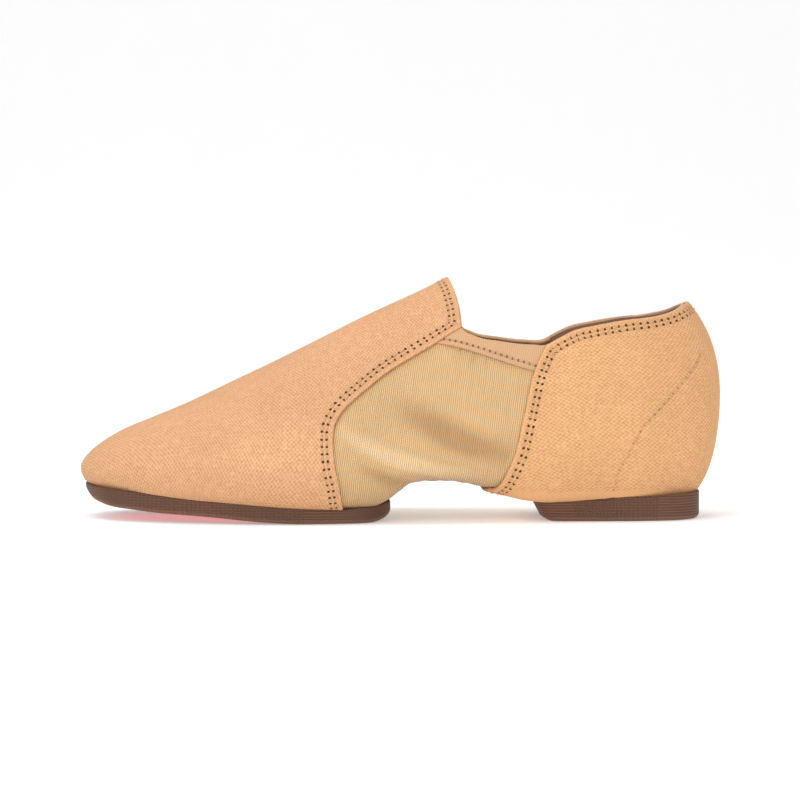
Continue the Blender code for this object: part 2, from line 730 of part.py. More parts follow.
def main():
    """Build every piece and place the shoe."""
    clear_scene()
    grid = Grid()
    floor_top = -TUCK_LEVELS - 1
    upper = sheet_solid("upper", grid.points, grid.normals,
                        grid.cells(lambda side, line, level: not in_hole(line, level)),
                        SHELL_OUTER, SHELL_INNER)
    vamp = sheet_solid("vamp", grid.points, grid.normals,
                       grid.cells(lambda side, line, level: line < VAMP_LINES and level >= floor_top),
                       0.0, COVER_INNER)
    quarter = sheet_solid("quarter", grid.points, grid.normals,
                          grid.cells(lambda side, line, level: line >= GUSSET_END
                                     and not in_hole(line, level)),
                          0.0, COVER_INNER)
    insole = sheet_solid("insole", grid.points, grid.normals,
                         grid.cells(lambda side, line, level: level < -TUCK_LEVELS),
                         INSOLE_LOWER, INSOLE_UPPER)
    bands = [make_band(grid, side) for side in (LATERAL, MEDIAL)]

    inside = {n for side in (LATERAL, MEDIAL) for line in range(LAST_LINE + 1)
              for n in (grid.number(side, line, level)
                        for level in (-TUCK_LEVELS - 2, -TUCK_LEVELS - FLOOR_LEVELS))
              if line < FRONT_HOLE_END or line > HEEL_HOLE_START}
    form = closed_form("foot_form", grid, lambda n: PAD_PLATEAU if n in inside else FIT)
    forepart, insert = make_forepart_pad(form)
    heel = make_heel_pad(form)

    canvas = material("canvas", (0.80, 0.45, 0.24), 0.9)
    canvas_back = material("canvas_quarter", (0.76, 0.43, 0.20), 0.9)
    stretch = material("stretch_satin", (0.68, 0.45, 0.22), 0.5)
    binding = material("stretch_band", (0.67, 0.39, 0.22), 0.6)
    lining = material("insole_board", (0.45, 0.28, 0.18), 0.8)
    gum = material("gum_rubber", (0.30, 0.14, 0.09), 0.6)
    red = material("red_rubber", (0.90, 0.06, 0.08), 0.45)
    looks = ((upper, stretch), (vamp, canvas), (quarter, canvas_back), (bands[0], binding),
             (bands[1], binding), (insole, lining), (forepart, gum), (heel, gum), (insert, red))
    shift = stand_on_origin([thing for thing, _ in looks])
    for thing, look in looks:
        thing.data.materials.append(look)
    for thing in bpy.data.objects:
        thing.location = shift


main()
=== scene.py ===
# %% [markdown]
# A canvas jazz shoe for the left foot. On the real shoe a stretch satin shell
# is closed round the foot, canvas is laid over its toes and heel, and a split
# sole of gum rubber is stuck on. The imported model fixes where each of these
# is. This file dresses them: it works out the form of the last once, and every
# piece is a patch of that form, so all of them fit each other.

import json
import math

import bmesh
import bpy
import numpy as np
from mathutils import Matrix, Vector
from mathutils.bvhtree import BVHTree
from mathutils.kdtree import KDTree

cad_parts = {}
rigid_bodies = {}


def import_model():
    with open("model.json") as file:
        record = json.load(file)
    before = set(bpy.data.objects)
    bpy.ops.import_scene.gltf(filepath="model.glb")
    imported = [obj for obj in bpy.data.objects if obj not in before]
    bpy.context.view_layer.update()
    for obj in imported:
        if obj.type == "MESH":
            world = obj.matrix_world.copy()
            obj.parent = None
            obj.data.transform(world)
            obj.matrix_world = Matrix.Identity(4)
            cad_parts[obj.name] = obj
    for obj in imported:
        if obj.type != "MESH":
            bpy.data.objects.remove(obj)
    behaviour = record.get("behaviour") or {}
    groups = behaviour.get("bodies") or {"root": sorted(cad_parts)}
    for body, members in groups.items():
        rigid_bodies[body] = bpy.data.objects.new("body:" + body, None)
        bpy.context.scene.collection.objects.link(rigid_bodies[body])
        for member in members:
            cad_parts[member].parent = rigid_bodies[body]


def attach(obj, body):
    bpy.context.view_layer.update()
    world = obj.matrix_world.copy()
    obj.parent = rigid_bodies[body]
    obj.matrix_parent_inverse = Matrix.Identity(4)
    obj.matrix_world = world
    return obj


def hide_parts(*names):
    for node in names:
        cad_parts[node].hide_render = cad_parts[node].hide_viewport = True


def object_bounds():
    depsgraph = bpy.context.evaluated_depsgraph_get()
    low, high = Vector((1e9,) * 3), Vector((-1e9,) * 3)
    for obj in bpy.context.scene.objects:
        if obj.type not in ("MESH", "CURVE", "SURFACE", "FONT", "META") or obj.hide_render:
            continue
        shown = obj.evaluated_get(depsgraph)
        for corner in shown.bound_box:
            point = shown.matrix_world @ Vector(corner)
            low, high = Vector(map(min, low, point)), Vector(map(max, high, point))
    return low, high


for thing in list(bpy.data.objects):
    bpy.data.objects.remove(thing)
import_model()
cad_low, cad_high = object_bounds()
SHOE_BOX = np.array(cad_high) - np.array(cad_low)
print("packed box in mm:", np.round(SHOE_BOX * 1000, 1))

# %% [markdown]
# The driving sizes are those of the last, measured over the canvas, and the
# thickness of each sheet. Depths below are offsets from that outer form: zero
# is the face of the canvas and negative goes towards the foot.

# %% Sizes of the shoe
LENGTH = 0.245
BALL_WIDTH = 0.088
HEEL_WIDTH = 0.0635
INSTEP_HEIGHT = 0.091
HEEL_HEIGHT = 0.0821
ARCH_HEIGHT = 0.0125
TOE_SPRING = 0.0120
HEEL_SEAT = 0.0070
FOREPART_SEAT = 0.0036
FIT = 0.0003
CANVAS = 0.0010
WALL = 0.0012
INSOLE = 0.0018
MEDIAL_ADVANCE = 0.0040
SHELL_OUTER = -CANVAS - FIT
SHELL_INNER = SHELL_OUTER - WALL
INSOLE_LOWER = SHELL_INNER - FIT
LATERAL, MEDIAL = -1, 1
SIDES = (LATERAL, MEDIAL)
print("shell from", SHELL_OUTER * 1000, "to", SHELL_INNER * 1000, "mm under the canvas face")

# %% [markdown]
# A last is drawn as a row of sections. Each row here is one section: where its
# widest point lies along the shoe, where it meets the middle line, how wide it
# is on each side, how far it tucks under, and how high and how full it is. At
# the toe and the heel the sections fan round, which is why the middle point
# has a column of its own. A subdivision cage could do the same job, but then
# no seam line could be placed on it by a measured size.

# %% Section tables of the last
FOREPART = (
    (0.000, 0.090, 0.000, 0.000, 0.114, 0.203, 0.391, 1.00),
    (0.016, 0.098, 0.170, 0.140, 0.114, 0.205, 0.399, 1.00),
    (0.057, 0.122, 0.312, 0.273, 0.119, 0.212, 0.425, 0.96),
    (0.122, 0.163, 0.446, 0.368, 0.131, 0.218, 0.471, 0.90),
    (0.212, 0.224, 0.535, 0.423, 0.148, 0.220, 0.548, 0.80),
    (0.318, 0.318, 0.574, 0.426, 0.148, 0.220, 0.669, 0.72),
    (0.424, 0.424, 0.556, 0.389, 0.153, 0.226, 0.813, 0.66),
    (0.522, 0.522, 0.509, 0.362, 0.170, 0.250, 0.936, 0.62),
)
BACKPART = (
    (0.612, 0.612, 0.679, 0.480, 0.220, 0.311, 1.157, 0.64),
    (0.702, 0.698, 0.657, 0.464, 0.189, 0.335, 1.206, 0.74),
    (0.800, 0.776, 0.588, 0.488, 0.165, 0.365, 1.218, 0.86),
    (0.882, 0.824, 0.537, 0.463, 0.173, 0.402, 1.181, 0.96),
    (0.947, 0.849, 0.427, 0.351, 0.197, 0.475, 1.133, 1.04),
    (0.984, 0.861, 0.280, 0.214, 0.213, 0.530, 1.108, 1.07),
    (1.000, 0.865, 0.000, 0.000, 0.220, 0.554, 1.102, 1.08),
)
UNDERSIDE = (
    (0.000, 1.05, 0.30, 0.00, 0.00), (0.020, 0.84, 0.50, 0.00, 0.00),
    (0.041, 0.61, 0.80, 0.00, 0.00), (0.093, 0.39, 1.00, 0.00, 0.00),
    (0.212, 0.20, 1.00, 0.00, 0.00), (0.330, 0.02, 1.00, 0.00, 0.00),
    (0.440, 0.00, 1.00, 0.00, 0.00), (0.470, 0.00, 1.00, 0.10, 0.00),
    (0.493, 0.00, 1.00, 0.32, 0.00), (0.516, 0.00, 0.60, 0.70, 0.00),
    (0.543, 0.00, 0.00, 1.00, 0.00), (0.571, 0.00, 0.00, 1.00, 0.00),
    (0.600, 0.00, 0.00, 0.80, 0.26), (0.625, 0.00, 0.00, 0.45, 0.70),
    (0.656, 0.00, 0.00, 0.12, 1.04), (0.690, 0.00, 0.00, 0.00, 1.06),
    (0.740, 0.00, 0.00, 0.00, 1.00), (1.000, 0.00, 0.00, 0.00, 1.00),
)
WAIST_LIFT = (
    (0.00, 0.00, 0.00), (0.40, 0.00, 0.00), (0.46, 0.04, 0.20),
    (0.54, 0.16, 0.55), (0.60, 0.20, 0.60), (0.66, 0.12, 0.35),
    (0.72, 0.00, 0.08), (0.78, 0.00, 0.00), (1.00, 0.00, 0.00),
)
print("sections:", len(FOREPART) + len(BACKPART))

# %% [markdown]
# The pattern lines are drawn on the side of the last, as a pattern cutter
# draws them: the top line, the back edge of the vamp, the front edge of the
# quarter, the lower edge of the stretch band and the seam down the counter.
# They could be drawn as curve objects, but a short table is easier to correct
# when one of them lies a millimetre off.

# %% Pattern lines, as shares of the length and of the instep height
COLLAR = (
    (0.5747, 1.000), (0.5796, 0.980), (0.5861, 0.931), (0.5914, 0.868),
    (0.5943, 0.805), (0.5968, 0.795), (0.6118, 0.771), (0.6563, 0.745),
    (0.7012, 0.732), (0.7249, 0.733), (0.7429, 0.758), (0.7665, 0.789),
    (0.8024, 0.811), (0.8473, 0.832), (0.8918, 0.846), (0.9237, 0.868),
    (0.9482, 0.902),
)
VAMP_EDGE = (
    (0.4159, 0.066), (0.4057, 0.185), (0.4000, 0.270), (0.3980, 0.356),
    (0.4041, 0.430), (0.4180, 0.482), (0.4494, 0.555), (0.4894, 0.636),
    (0.5608, 0.750), (0.5943, 0.805),
)
QUARTER_EDGE = (
    (0.6359, 0.119), (0.6535, 0.159), (0.6686, 0.240), (0.6804, 0.335),
    (0.6918, 0.471), (0.7069, 0.632), (0.7131, 0.671), (0.7245, 0.733),
)
BAND_LOWER_EDGE = (
    (0.5200, 0.760), (0.5551, 0.741), (0.5971, 0.716), (0.6416, 0.679),
    (0.6861, 0.641), (0.7069, 0.626), (0.7600, 0.590),
)
COUNTER_SEAM = (
    (0.8204, 0.070), (0.8322, 0.191), (0.8473, 0.271), (0.8650, 0.359),
    (0.8857, 0.431), (0.9155, 0.520), (0.9424, 0.600), (0.9661, 0.696),
)
print("throat peak", round(COLLAR[0][0] * LENGTH * 1000), "mm behind the toe")

# %% [markdown]
# A smooth reading of a table comes next: a cubic through its rows that takes
# whole arrays at once. Where a column turns, the slope is set to zero, so that
# nothing overshoots. The sections themselves run round the toe and the heel,
# so they are read as one closed loop.

# %% Read tables and sections as smooth curves
class Curve:
    """Smooth curve through rows of a place and one or more values."""

    def __init__(self, table):
        rows = np.array(table, dtype=float)
        self.places, self.values = rows[:, 0], rows[:, 1:]
        steps = np.diff(self.places)[:, None]
        chords = np.diff(self.values, axis=0) / steps
        blend = steps[1:] / (steps[1:] + steps[:-1])
        inner = blend * chords[:-1] + (1.0 - blend) * chords[1:]
        inner[chords[:-1] * chords[1:] <= 0.0] = 0.0
        self.slopes = np.vstack((chords[:1], inner, chords[-1:]))

    def read(self, where):
        """All the values at an array of places."""
        where = np.clip(np.asarray(where, dtype=float), self.places[0], self.places[-1])
        k = np.clip(np.searchsorted(self.places, where) - 1, 0, len(self.places) - 2)
        width = (self.places[k + 1] - self.places[k])[..., None]
        t = (where - self.places[k])[..., None] / width
        start = (2 * t**3 - 3 * t**2 + 1) * self.values[k]
        start += (t**3 - 2 * t**2 + t) * width * self.slopes[k]
        end = (3 * t**2 - 2 * t**3) * self.values[k + 1]
        end += (t**3 - t**2) * width * self.slopes[k + 1]
        return start + end

    def at(self, where):
        """The first value at an array of places."""
        return self.read(where)[..., 0]


def last_rows(side):
    """Section rows in metres: x, axis x, y, tuck, wide z, ridge z, fullness."""
    rows = []
    for table, width, height in ((FOREPART, BALL_WIDTH, INSTEP_HEIGHT),
                                 (BACKPART, HEEL_WIDTH, HEEL_HEIGHT)):
        for wide_x, axis_x, lateral, medial, tuck, wide_z, ridge_z, fullness in table:
            half = -lateral if side == LATERAL else medial
            rows.append((wide_x * LENGTH, axis_x * LENGTH, half * width, tuck * width,
                         wide_z * height, ridge_z * height, fullness))
    return rows


LOOP = np.array(last_rows(LATERAL) + last_rows(MEDIAL)[-2:0:-1])
LAST_ROW = len(FOREPART) + len(BACKPART) - 1


def section(side, place):
    """Read the last between row 0 at the toe and its last row at the heel."""
    along = place if side == LATERAL else len(LOOP) - place
    k = np.floor(along).astype(int)
    t = (along - k)[..., None]
    a, b, c, d = (LOOP[(k + n) % len(LOOP)] for n in (-1, 0, 1, 2))
    return 0.5 * (2 * b + (c - a) * t + (2 * a - 5 * b + 4 * c - d) * t**2
                  + (3 * b - a - 3 * c + d) * t**3)


underside_curve = Curve(UNDERSIDE)
waist_curve = Curve(WAIST_LIFT)
collar_curve = Curve(COLLAR)
band_curve = Curve(BAND_LOWER_EDGE)
ridge_curve = Curve([(row[1] * LENGTH, row[6] * INSTEP_HEIGHT) for row in FOREPART])
print("loop of", len(LOOP), "sections")

# %% [markdown]
# One function gives every point of the outer form. Its rise runs from -1 at
# the feather line, where the sole is stuck on, over 0 at the widest line, to 1
# at the ridge. Level is the same thing, but 1 is where the shoe's top line
# cuts the section.

# %% The outer form
def underside(x):
    """Height of the middle of the underside."""
    sizes = np.array([TOE_SPRING, FOREPART_SEAT, ARCH_HEIGHT, HEEL_SEAT])
    return underside_curve.read(np.asarray(x) / LENGTH) @ sizes


def waist_lift(side, x):
    """Extra height of the underside's edge at the waist."""
    column = 0 if side == LATERAL else 1
    return waist_curve.read(np.asarray(x) / LENGTH)[..., column] * ARCH_HEIGHT


def form_point(side, place, rise):
    """Points of the outer form for arrays of places and rises."""
    place, rise = np.broadcast_arrays(np.asarray(place, float), np.asarray(rise, float))
    columns = np.moveaxis(section(side, place), -1, 0)
    wide_x, axis_x, wide_y, tuck, wide_z, ridge_z, fullness = columns
    reach = np.hypot(axis_x - wide_x, wide_y)
    angle = np.abs(rise) * math.pi / 2
    under = rise < 0.0
    tucked = np.minimum(tuck / reach, 0.9)
    swing = np.maximum(1.0 - np.cos(angle), 0.0)
    share = np.where(under, tucked * swing, swing ** fullness)
    foot_x = wide_x + (axis_x - wide_x) * tucked
    floor = underside(foot_x) + waist_lift(side, foot_x)
    step = 0.02 * LENGTH
    slope = (ridge_curve.at(axis_x + step) - ridge_curve.at(axis_x)) / step
    lean = np.maximum(axis_x - wide_x, 0.0) * slope
    z_under = wide_z - (wide_z - floor) * np.sin(angle)
    z_over = wide_z + (ridge_z - wide_z - lean) * np.sin(angle) + lean * share
    return np.stack((wide_x + (axis_x - wide_x) * share, wide_y * (1.0 - share),
                     np.where(under, z_under, z_over)), axis=-1)


HALVINGS = 34


def bisect(low, high, above):
    """Halve intervals until the places where a test turns true are found."""
    for _ in range(HALVINGS):
        middle = 0.5 * (low + high)
        hit = above(middle)
        high = np.where(hit, middle, high)
        low = np.where(hit, low, middle)
    return 0.5 * (low + high)


def collar_height(x):
    """Height of the top line; in front of the throat nothing is cut."""
    cut = collar_curve.at(x / LENGTH) * INSTEP_HEIGHT
    return np.where(x <= COLLAR[0][0] * LENGTH, 2.0 * INSTEP_HEIGHT, cut)


def top_rise(side, place):
    """Rise at which sections are cut by the top line."""
    place = np.asarray(place, float)

    def above(rise):
        point = form_point(side, place, rise)
        return point[..., 2] > collar_height(point[..., 0])
    cut = bisect(np.full(place.shape, 0.2), np.ones(place.shape), above)
    return np.where(above(np.full(place.shape, 0.9999)), cut, 1.0)


def place_at(side, x, rise):
    """Place whose point at this rise lies at x."""
    x, rise = np.broadcast_arrays(np.asarray(x, float), np.asarray(rise, float))
    return bisect(np.zeros(x.shape), np.full(x.shape, float(LAST_ROW)),
                  lambda place: form_point(side, place, rise)[..., 0] > x)


def seen_at(side, x, z):
    """Place and rise of the form's points that are seen at x and z from the side."""
    x, z = np.asarray(x, float), np.asarray(z, float)
    rise = bisect(-np.ones(x.shape), np.ones(x.shape),
                  lambda r: form_point(side, place_at(side, x, r), r)[..., 2] > z)
    return place_at(side, x, rise), rise


toe_tip = form_point(LATERAL, 0.0, 0.0)
heel_back = form_point(LATERAL, float(LAST_ROW), 0.0)
print("toe and heel of the form in mm:", toe_tip[0] * 1000, heel_back[0] * 1000)

# %% [markdown]
# Each pattern line is found on the form once per side and kept as a curve from
# level to place. A point of the upper is then named by a zone coordinate: 0 to
# 1 runs from the toe to the vamp's edge, 1 to 2 over the gusset and 2 to 3
# over the quarter to the back seam.

# %% Zones of the upper
PEAK_SHARE = 10 / 14
THROAT_ZONE = 1.055
THROAT_CLIMB = 0.05
THROAT_FADE, THROAT_END = 1.2, 1.5


def side_line(side, table):
    """Turn a pattern line into a curve from level to place."""
    shift = -MEDIAL_ADVANCE if side == MEDIAL and table is QUARTER_EDGE else 0.0
    rows = np.array(table)
    place, rise = seen_at(side, rows[:, 0] * LENGTH + shift, rows[:, 1] * INSTEP_HEIGHT)
    top = top_rise(side, place[-1])
    kept = [(-1.0, place[0])]
    for n in range(1, len(rows) - 1):
        level = float(rise[n] if rise[n] < 0.0 else rise[n] / top)
        if kept[-1][0] + 0.02 < level < 0.98:
            kept.append((level, place[n]))
    return Curve(kept + [(1.0, place[-1])])


vamp_line = {side: side_line(side, VAMP_EDGE) for side in SIDES}
quarter_line = {side: side_line(side, QUARTER_EDGE) for side in SIDES}
peak_place = float(place_at(LATERAL, COLLAR[0][0] * LENGTH, 1.0))


def zone_place(side, zone, level):
    """Place along the last of a zone coordinate at a level."""
    zone, level = np.broadcast_arrays(np.asarray(zone, float), np.asarray(level, float))
    vamp, quarter = vamp_line[side].at(level), quarter_line[side].at(level)
    corner = vamp_line[side].at(1.0)
    share = np.clip(zone, 0.0, 1.0)
    past = np.clip((share - PEAK_SHARE) / (1.0 - PEAK_SHARE), 0.0, 1.0)
    top = np.where(share < PEAK_SHARE, peak_place * share / PEAK_SHARE,
                   peak_place + (corner - peak_place) * past)
    mix = np.maximum(level, 0.0) ** 1.5
    front = vamp * (share + (top / corner - share) * mix)
    middle = vamp + (quarter - vamp) * (zone - 1.0)
    back = quarter + (LAST_ROW - quarter) * (zone - 2.0)
    return np.where(zone <= 1.0, front, np.where(zone <= 2.0, middle, back))


def zone_rise(side, zone, level):
    """Rise of zones and levels; behind the throat's corner it may climb only slowly."""
    top = top_rise(side, zone_place(side, zone, np.ones(zone.shape)))
    start = top_rise(side, zone_place(side, THROAT_ZONE, 1.0))
    slow = np.minimum(top, start + THROAT_CLIMB * (zone - THROAT_ZONE))
    back = np.clip((zone - THROAT_FADE) / (THROAT_END - THROAT_FADE), 0.0, 1.0)
    slow += (top - slow) * back * back * (3.0 - 2.0 * back)
    top = np.where((zone > THROAT_ZONE) & (zone < THROAT_END), slow, top)
    return np.where(level < 0.0, level, level * top)


def zone_point(side, zone, level):
    """Points of the outer form for zones and levels."""
    zone, level = np.broadcast_arrays(np.asarray(zone, float), np.asarray(level, float))
    return form_point(side, zone_place(side, zone, level), zone_rise(side, zone, level))


def band_level(side, zone):
    """Level of the band's lower edge, for zones of the gusset."""
    zone = np.clip(np.asarray(zone, float), 1.0, 2.0)

    def above(level):
        point = zone_point(side, zone, level)
        return point[..., 2] > band_curve.at(point[..., 0] / LENGTH) * INSTEP_HEIGHT
    return bisect(np.full(zone.shape, 0.3), np.ones(zone.shape), above)


SHIFT = np.array([cad_low[0], 0.0, 0.0])
widest = form_point(LATERAL, np.linspace(0.0, LAST_ROW, 400), 0.0)
SHIFT[1] = cad_low[1] - widest[:, 1].min()
print("the shoe's own zero lies at", np.round(SHIFT * 1000, 2), "mm in the frame")

# %% [markdown]
# The underside is the same skin carried on past the feather line to the middle
# of the foot, so one more coordinate does for everything: height -2 is the
# middle of the underside, -1 the feather line, 0 the widest line and 1 the top
# line. Cloth keeps the size of its weave, so each point also gets two lengths,
# along the shoe and down from the ridge. Unwrapping would give them too, but
# not the same on every piece.

# %% Skin, and lengths on the cloth
def skin_point(side, zone, height):
    """Points of the whole skin, underside included."""
    zone, height = np.broadcast_arrays(np.asarray(zone, float), np.asarray(height, float))
    wall = zone_point(side, zone, np.maximum(height, -1.0))
    feather = np.full(zone.shape, -1.0)
    edge, other = (zone_point(s, zone, feather) for s in (side, -side))
    axis = 0.5 * sum(section(s, zone_place(s, zone, feather))[..., 1] for s in SIDES)
    middle = np.stack((axis, 0.5 * (edge[..., 1] + other[..., 1]), underside(axis)), axis=-1)
    share = np.clip(-1.0 - height, 0.0, 1.0)[..., None]
    floor = edge + (middle - edge) * share
    lift = waist_lift(side, floor[..., 0]) * (1.0 - share[..., 0]) ** 2
    floor[..., 2] = underside(floor[..., 0]) + lift
    return np.where(height[..., None] < -1.0, floor, wall)


CLOTH_PLACES = np.linspace(0.0, LAST_ROW, 500)
CLOTH_RISES = np.linspace(1.02, -1.0, 160)


def cloth_table(side, over_toes):
    """Lengths along the form: along the shoe, and down each section from the ridge.

    Over the toes the cloth is laid flat on the ridge and smoothed down, so its
    rows follow the ridge; elsewhere they follow the widest line.
    """
    grid = form_point(side, *np.meshgrid(CLOTH_PLACES, CLOTH_RISES, indexing="ij"))
    forward = np.gradient(grid, axis=0)
    forward /= np.maximum(np.linalg.norm(forward, axis=2), 1e-9)[..., None]
    steps = np.diff(grid, axis=1)
    down, slip = np.zeros(grid.shape[:2]), np.zeros(grid.shape[:2])
    down[:, 1:] = np.cumsum(np.linalg.norm(steps, axis=2), axis=1)
    slip[:, 1:] = np.cumsum(np.sum(steps * forward[:, 1:], axis=2), axis=1)
    start = 0 if over_toes else int(np.argmin(np.abs(CLOTH_RISES)))
    walked = np.zeros(len(CLOTH_PLACES))
    walked[1:] = np.cumsum(np.linalg.norm(np.diff(grid[:, start], axis=0), axis=1))
    along = np.repeat(walked[:, None], len(CLOTH_RISES), axis=1)
    if over_toes:
        rows = section(side, CLOTH_PLACES)
        turn = np.arctan2(np.abs(rows[:, 2]), np.maximum(rows[:, 1] - rows[:, 0], 0.0))[:, None]
        straight = np.clip((turn - 1.0) / 0.5, 0.0, 1.0)
        along += slip * straight - down * np.cos(turn)
        down = down * np.sin(turn)
    return np.stack((along, down), axis=-1)


CLOTH = {(side, over_toes): cloth_table(side, over_toes)
         for side in SIDES for over_toes in (False, True)}


def cloth_lengths(side, place, rise, over_toes=False):
    """The two lengths of points named by place and rise."""
    a = np.clip(place / LAST_ROW * (len(CLOTH_PLACES) - 1), 0, len(CLOTH_PLACES) - 1.001)
    down = (CLOTH_RISES[0] - rise) / (CLOTH_RISES[0] - CLOTH_RISES[-1])
    b = np.clip(down * (len(CLOTH_RISES) - 1), 0, len(CLOTH_RISES) - 1.001)
    i, j = a.astype(int), b.astype(int)
    s, t = (a - i)[..., None], (b - j)[..., None]
    table = CLOTH[side, over_toes]
    near = table[i, j] * (1.0 - t) + table[i, j + 1] * t
    return near * (1.0 - s) + (table[i + 1, j] * (1.0 - t) + table[i + 1, j + 1] * t) * s


def skin_site(side, zone, height):
    """Points, and their lengths on the cloth, for zones and heights."""
    points = skin_point(side, zone, height)
    level = np.maximum(height, -1.0)
    place, rise = zone_place(side, zone, level), zone_rise(side, zone, level)
    uv = cloth_lengths(side, place, rise, over_toes=bool(np.all(zone <= 1.0)))
    feather = zone_point(side, zone, -np.ones(zone.shape))
    uv[..., 1] += np.where(height < -1.0, np.linalg.norm(points - feather, axis=-1), 0.0)
    return points, uv


print("cloth reach mm, lateral:", np.round(CLOTH[LATERAL, False].max(axis=(0, 1)) * 1000))

# %% [markdown]
# A patch is a grid of zones and heights on both sides of the foot. Points that
# the two sides share are stored once, which keeps every patch one clean sheet
# without any merging by distance.

# %% Patches of skin
class Patch:
    """Grid of skin on both sides of the foot, with its normals and lengths."""

    def __init__(self, zones, heights, sides=SIDES, height_of=None, site_of=skin_site):
        zone, height = np.meshgrid(zones, heights, indexing="ij")
        self.shape, self.count = zone.shape, zone.size
        true_heights = [height_of(s, zone, height) if height_of else height for s in sides]
        sites = [site_of(s, zone, true) for s, true in zip(sides, true_heights)]
        self.points = np.concatenate([points.reshape(-1, 3) for points, _ in sites])
        self.uv = np.concatenate([uv.reshape(-1, 2) for _, uv in sites])
        self.side = np.repeat(sides, self.count)
        self.zone = np.tile(zone.ravel(), len(sides))
        self.height = np.concatenate([true.ravel() for true in true_heights])
        number = np.arange(self.count * len(sides)).reshape(len(sides), *self.shape)
        if len(sides) == 2:
            shared = (zone == 0.0) | (zone == 3.0) | (height == -2.0)
            shared |= (height == 1.0) & (zone <= PEAK_SHARE + 1e-9)
            number[1][shared] = number[0][shared]
        self.faces = np.concatenate([self.side_faces(number[k], sides[k])
                                     for k in range(len(sides))])
        self.normals = self.find_normals()

    def side_faces(self, number, side):
        """Faces of one side's grid with their outer side out."""
        corners = [number[:-1, :-1], number[1:, :-1], number[1:, 1:], number[:-1, 1:]]
        faces = np.stack([c.ravel() for c in corners], axis=1)
        return faces if side == LATERAL else faces[:, ::-1]

    def find_normals(self):
        """Outward directions averaged over the faces at each point."""
        a, b, c, d = (self.points[self.faces[:, k]] for k in range(4))
        areas = np.cross(c - a, d - b)
        total = np.zeros_like(self.points)
        for k in range(4):
            np.add.at(total, self.faces[:, k], areas)
        size = np.linalg.norm(total, axis=1)
        return total / np.maximum(size, 1e-12)[:, None]


print("patches run from zone 0 at the toe to zone 3 at the back seam")

# %% [markdown]
# Cloth pieces are sheets with two faces and a cut edge. A Solidify modifier
# makes such a sheet of even thickness. This helper takes a patch and two
# depths, either of which may change from point to point, because a folded rim
# is thicker than the cloth. The lengths on the cloth become its UV map, so a
# weave keeps its true size wherever the sheet bends.

# %% Make closed sheets
def new_object(name, points, faces, uv, fields=None):
    """Mesh object from arrays, with a UV map in metres and named point values."""
    mesh = bpy.data.meshes.new(name)
    corners = [list(map(int, face)) for face in faces]
    mesh.from_pydata((np.asarray(points) + SHIFT).tolist(), [], corners)
    layer = mesh.uv_layers.new(name="lengths")
    corner = np.empty(len(mesh.loops), dtype=np.int64)
    mesh.loops.foreach_get("vertex_index", corner)
    layer.data.foreach_set("uv", np.asarray(uv, dtype=float)[corner].ravel())
    for title, values in (fields or {}).items():
        layer = mesh.attributes.new(title, "FLOAT", "POINT")
        layer.data.foreach_set("value", values.astype(float))
    mesh.shade_smooth()
    thing = bpy.data.objects.new(name, mesh)
    bpy.context.scene.collection.objects.link(thing)
    return thing


def dress(thing, *nodes):
    """Let a piece ride on the shoe's one body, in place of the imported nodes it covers."""
    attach(thing, "root")
    if nodes:
        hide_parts(*nodes)
    return thing


def boundary_edges(faces):
    """Directed edges that only one face uses."""
    pairs = set()
    for face in faces:
        ring = list(dict.fromkeys(face))
        pairs.update(zip(ring, ring[1:] + ring[:1]))
    return [pair for pair in pairs if (pair[1], pair[0]) not in pairs]


def sheet(name, patch, outer, inner, fields=None, keep=None):
    """Closed sheet between two depths of a patch."""
    faces = patch.faces if keep is None else patch.faces[keep]
    faces = [list(dict.fromkeys(map(int, face))) for face in faces]
    total = len(patch.points)
    outer, inner = np.broadcast_to(outer, total), np.broadcast_to(inner, total)
    points = np.vstack((patch.points + patch.normals * outer[:, None],
                        patch.points + patch.normals * inner[:, None]))
    solid = faces + [[n + total for n in reversed(face)] for face in faces]
    solid += [[b, a, a + total, b + total] for a, b in boundary_edges(faces)]
    flat = np.concatenate([np.array(face) for face in solid])
    used, solid_index = np.unique(flat, return_inverse=True)
    stops = np.cumsum([len(f) for f in solid])[:-1]
    solid = np.split(solid_index, stops)
    uv = np.vstack((patch.uv, patch.uv))[used]
    doubled = {title: np.concatenate((values, values))[used]
               for title, values in (fields or {}).items()}
    doubled["inside"] = np.repeat((0.0, 1.0), total)[used]
    return new_object(name, points[used], solid, uv, doubled)


print("sheet maker ready")

# %% [markdown]
# Seams follow edges, so each cover needs to know how far a point is from its
# own edge and how far along that edge it lies. Both are found with a search
# tree over closely spaced points of the edge. Rims, stitch grooves, needle
# holes and thread are all placed from these two lengths. Weight painting could
# mark the same strips, but not to a tenth of a millimetre.

# %% Lengths along and away from an edge
EDGE_STEP = 0.0003


def walk(points):
    """Length of a line up to each of its points."""
    steps = np.linalg.norm(np.diff(points, axis=0), axis=1)
    return np.concatenate(([0.0], np.cumsum(steps)))


class Edge:
    """Line on the skin with its length, directions and a search tree."""

    def __init__(self, points):
        walked = walk(points)
        self.length = walked[-1]
        self.run = np.arange(0.0, self.length, EDGE_STEP)
        self.points = np.column_stack([np.interp(self.run, walked, points[:, k]) for k in range(3)])
        self.tree = KDTree(len(self.points))
        for k, point in enumerate(self.points):
            self.tree.insert(point, k)
        self.tree.balance()

    def measure(self, points, reach=0.02):
        """Distance from the edge and length along it, for an array of points."""
        far, run = np.full(len(points), reach), np.zeros(len(points))
        for k, point in enumerate(points):
            _, index, distance = self.tree.find(point)
            far[k], run[k] = min(distance, reach), self.run[index]
        return far, run


def skin_line(side, zones, heights, steps=240):
    """Points of the skin along a straight way between two corners of zone and height."""
    return skin_point(side, np.linspace(*zones, steps), np.linspace(*heights, steps))


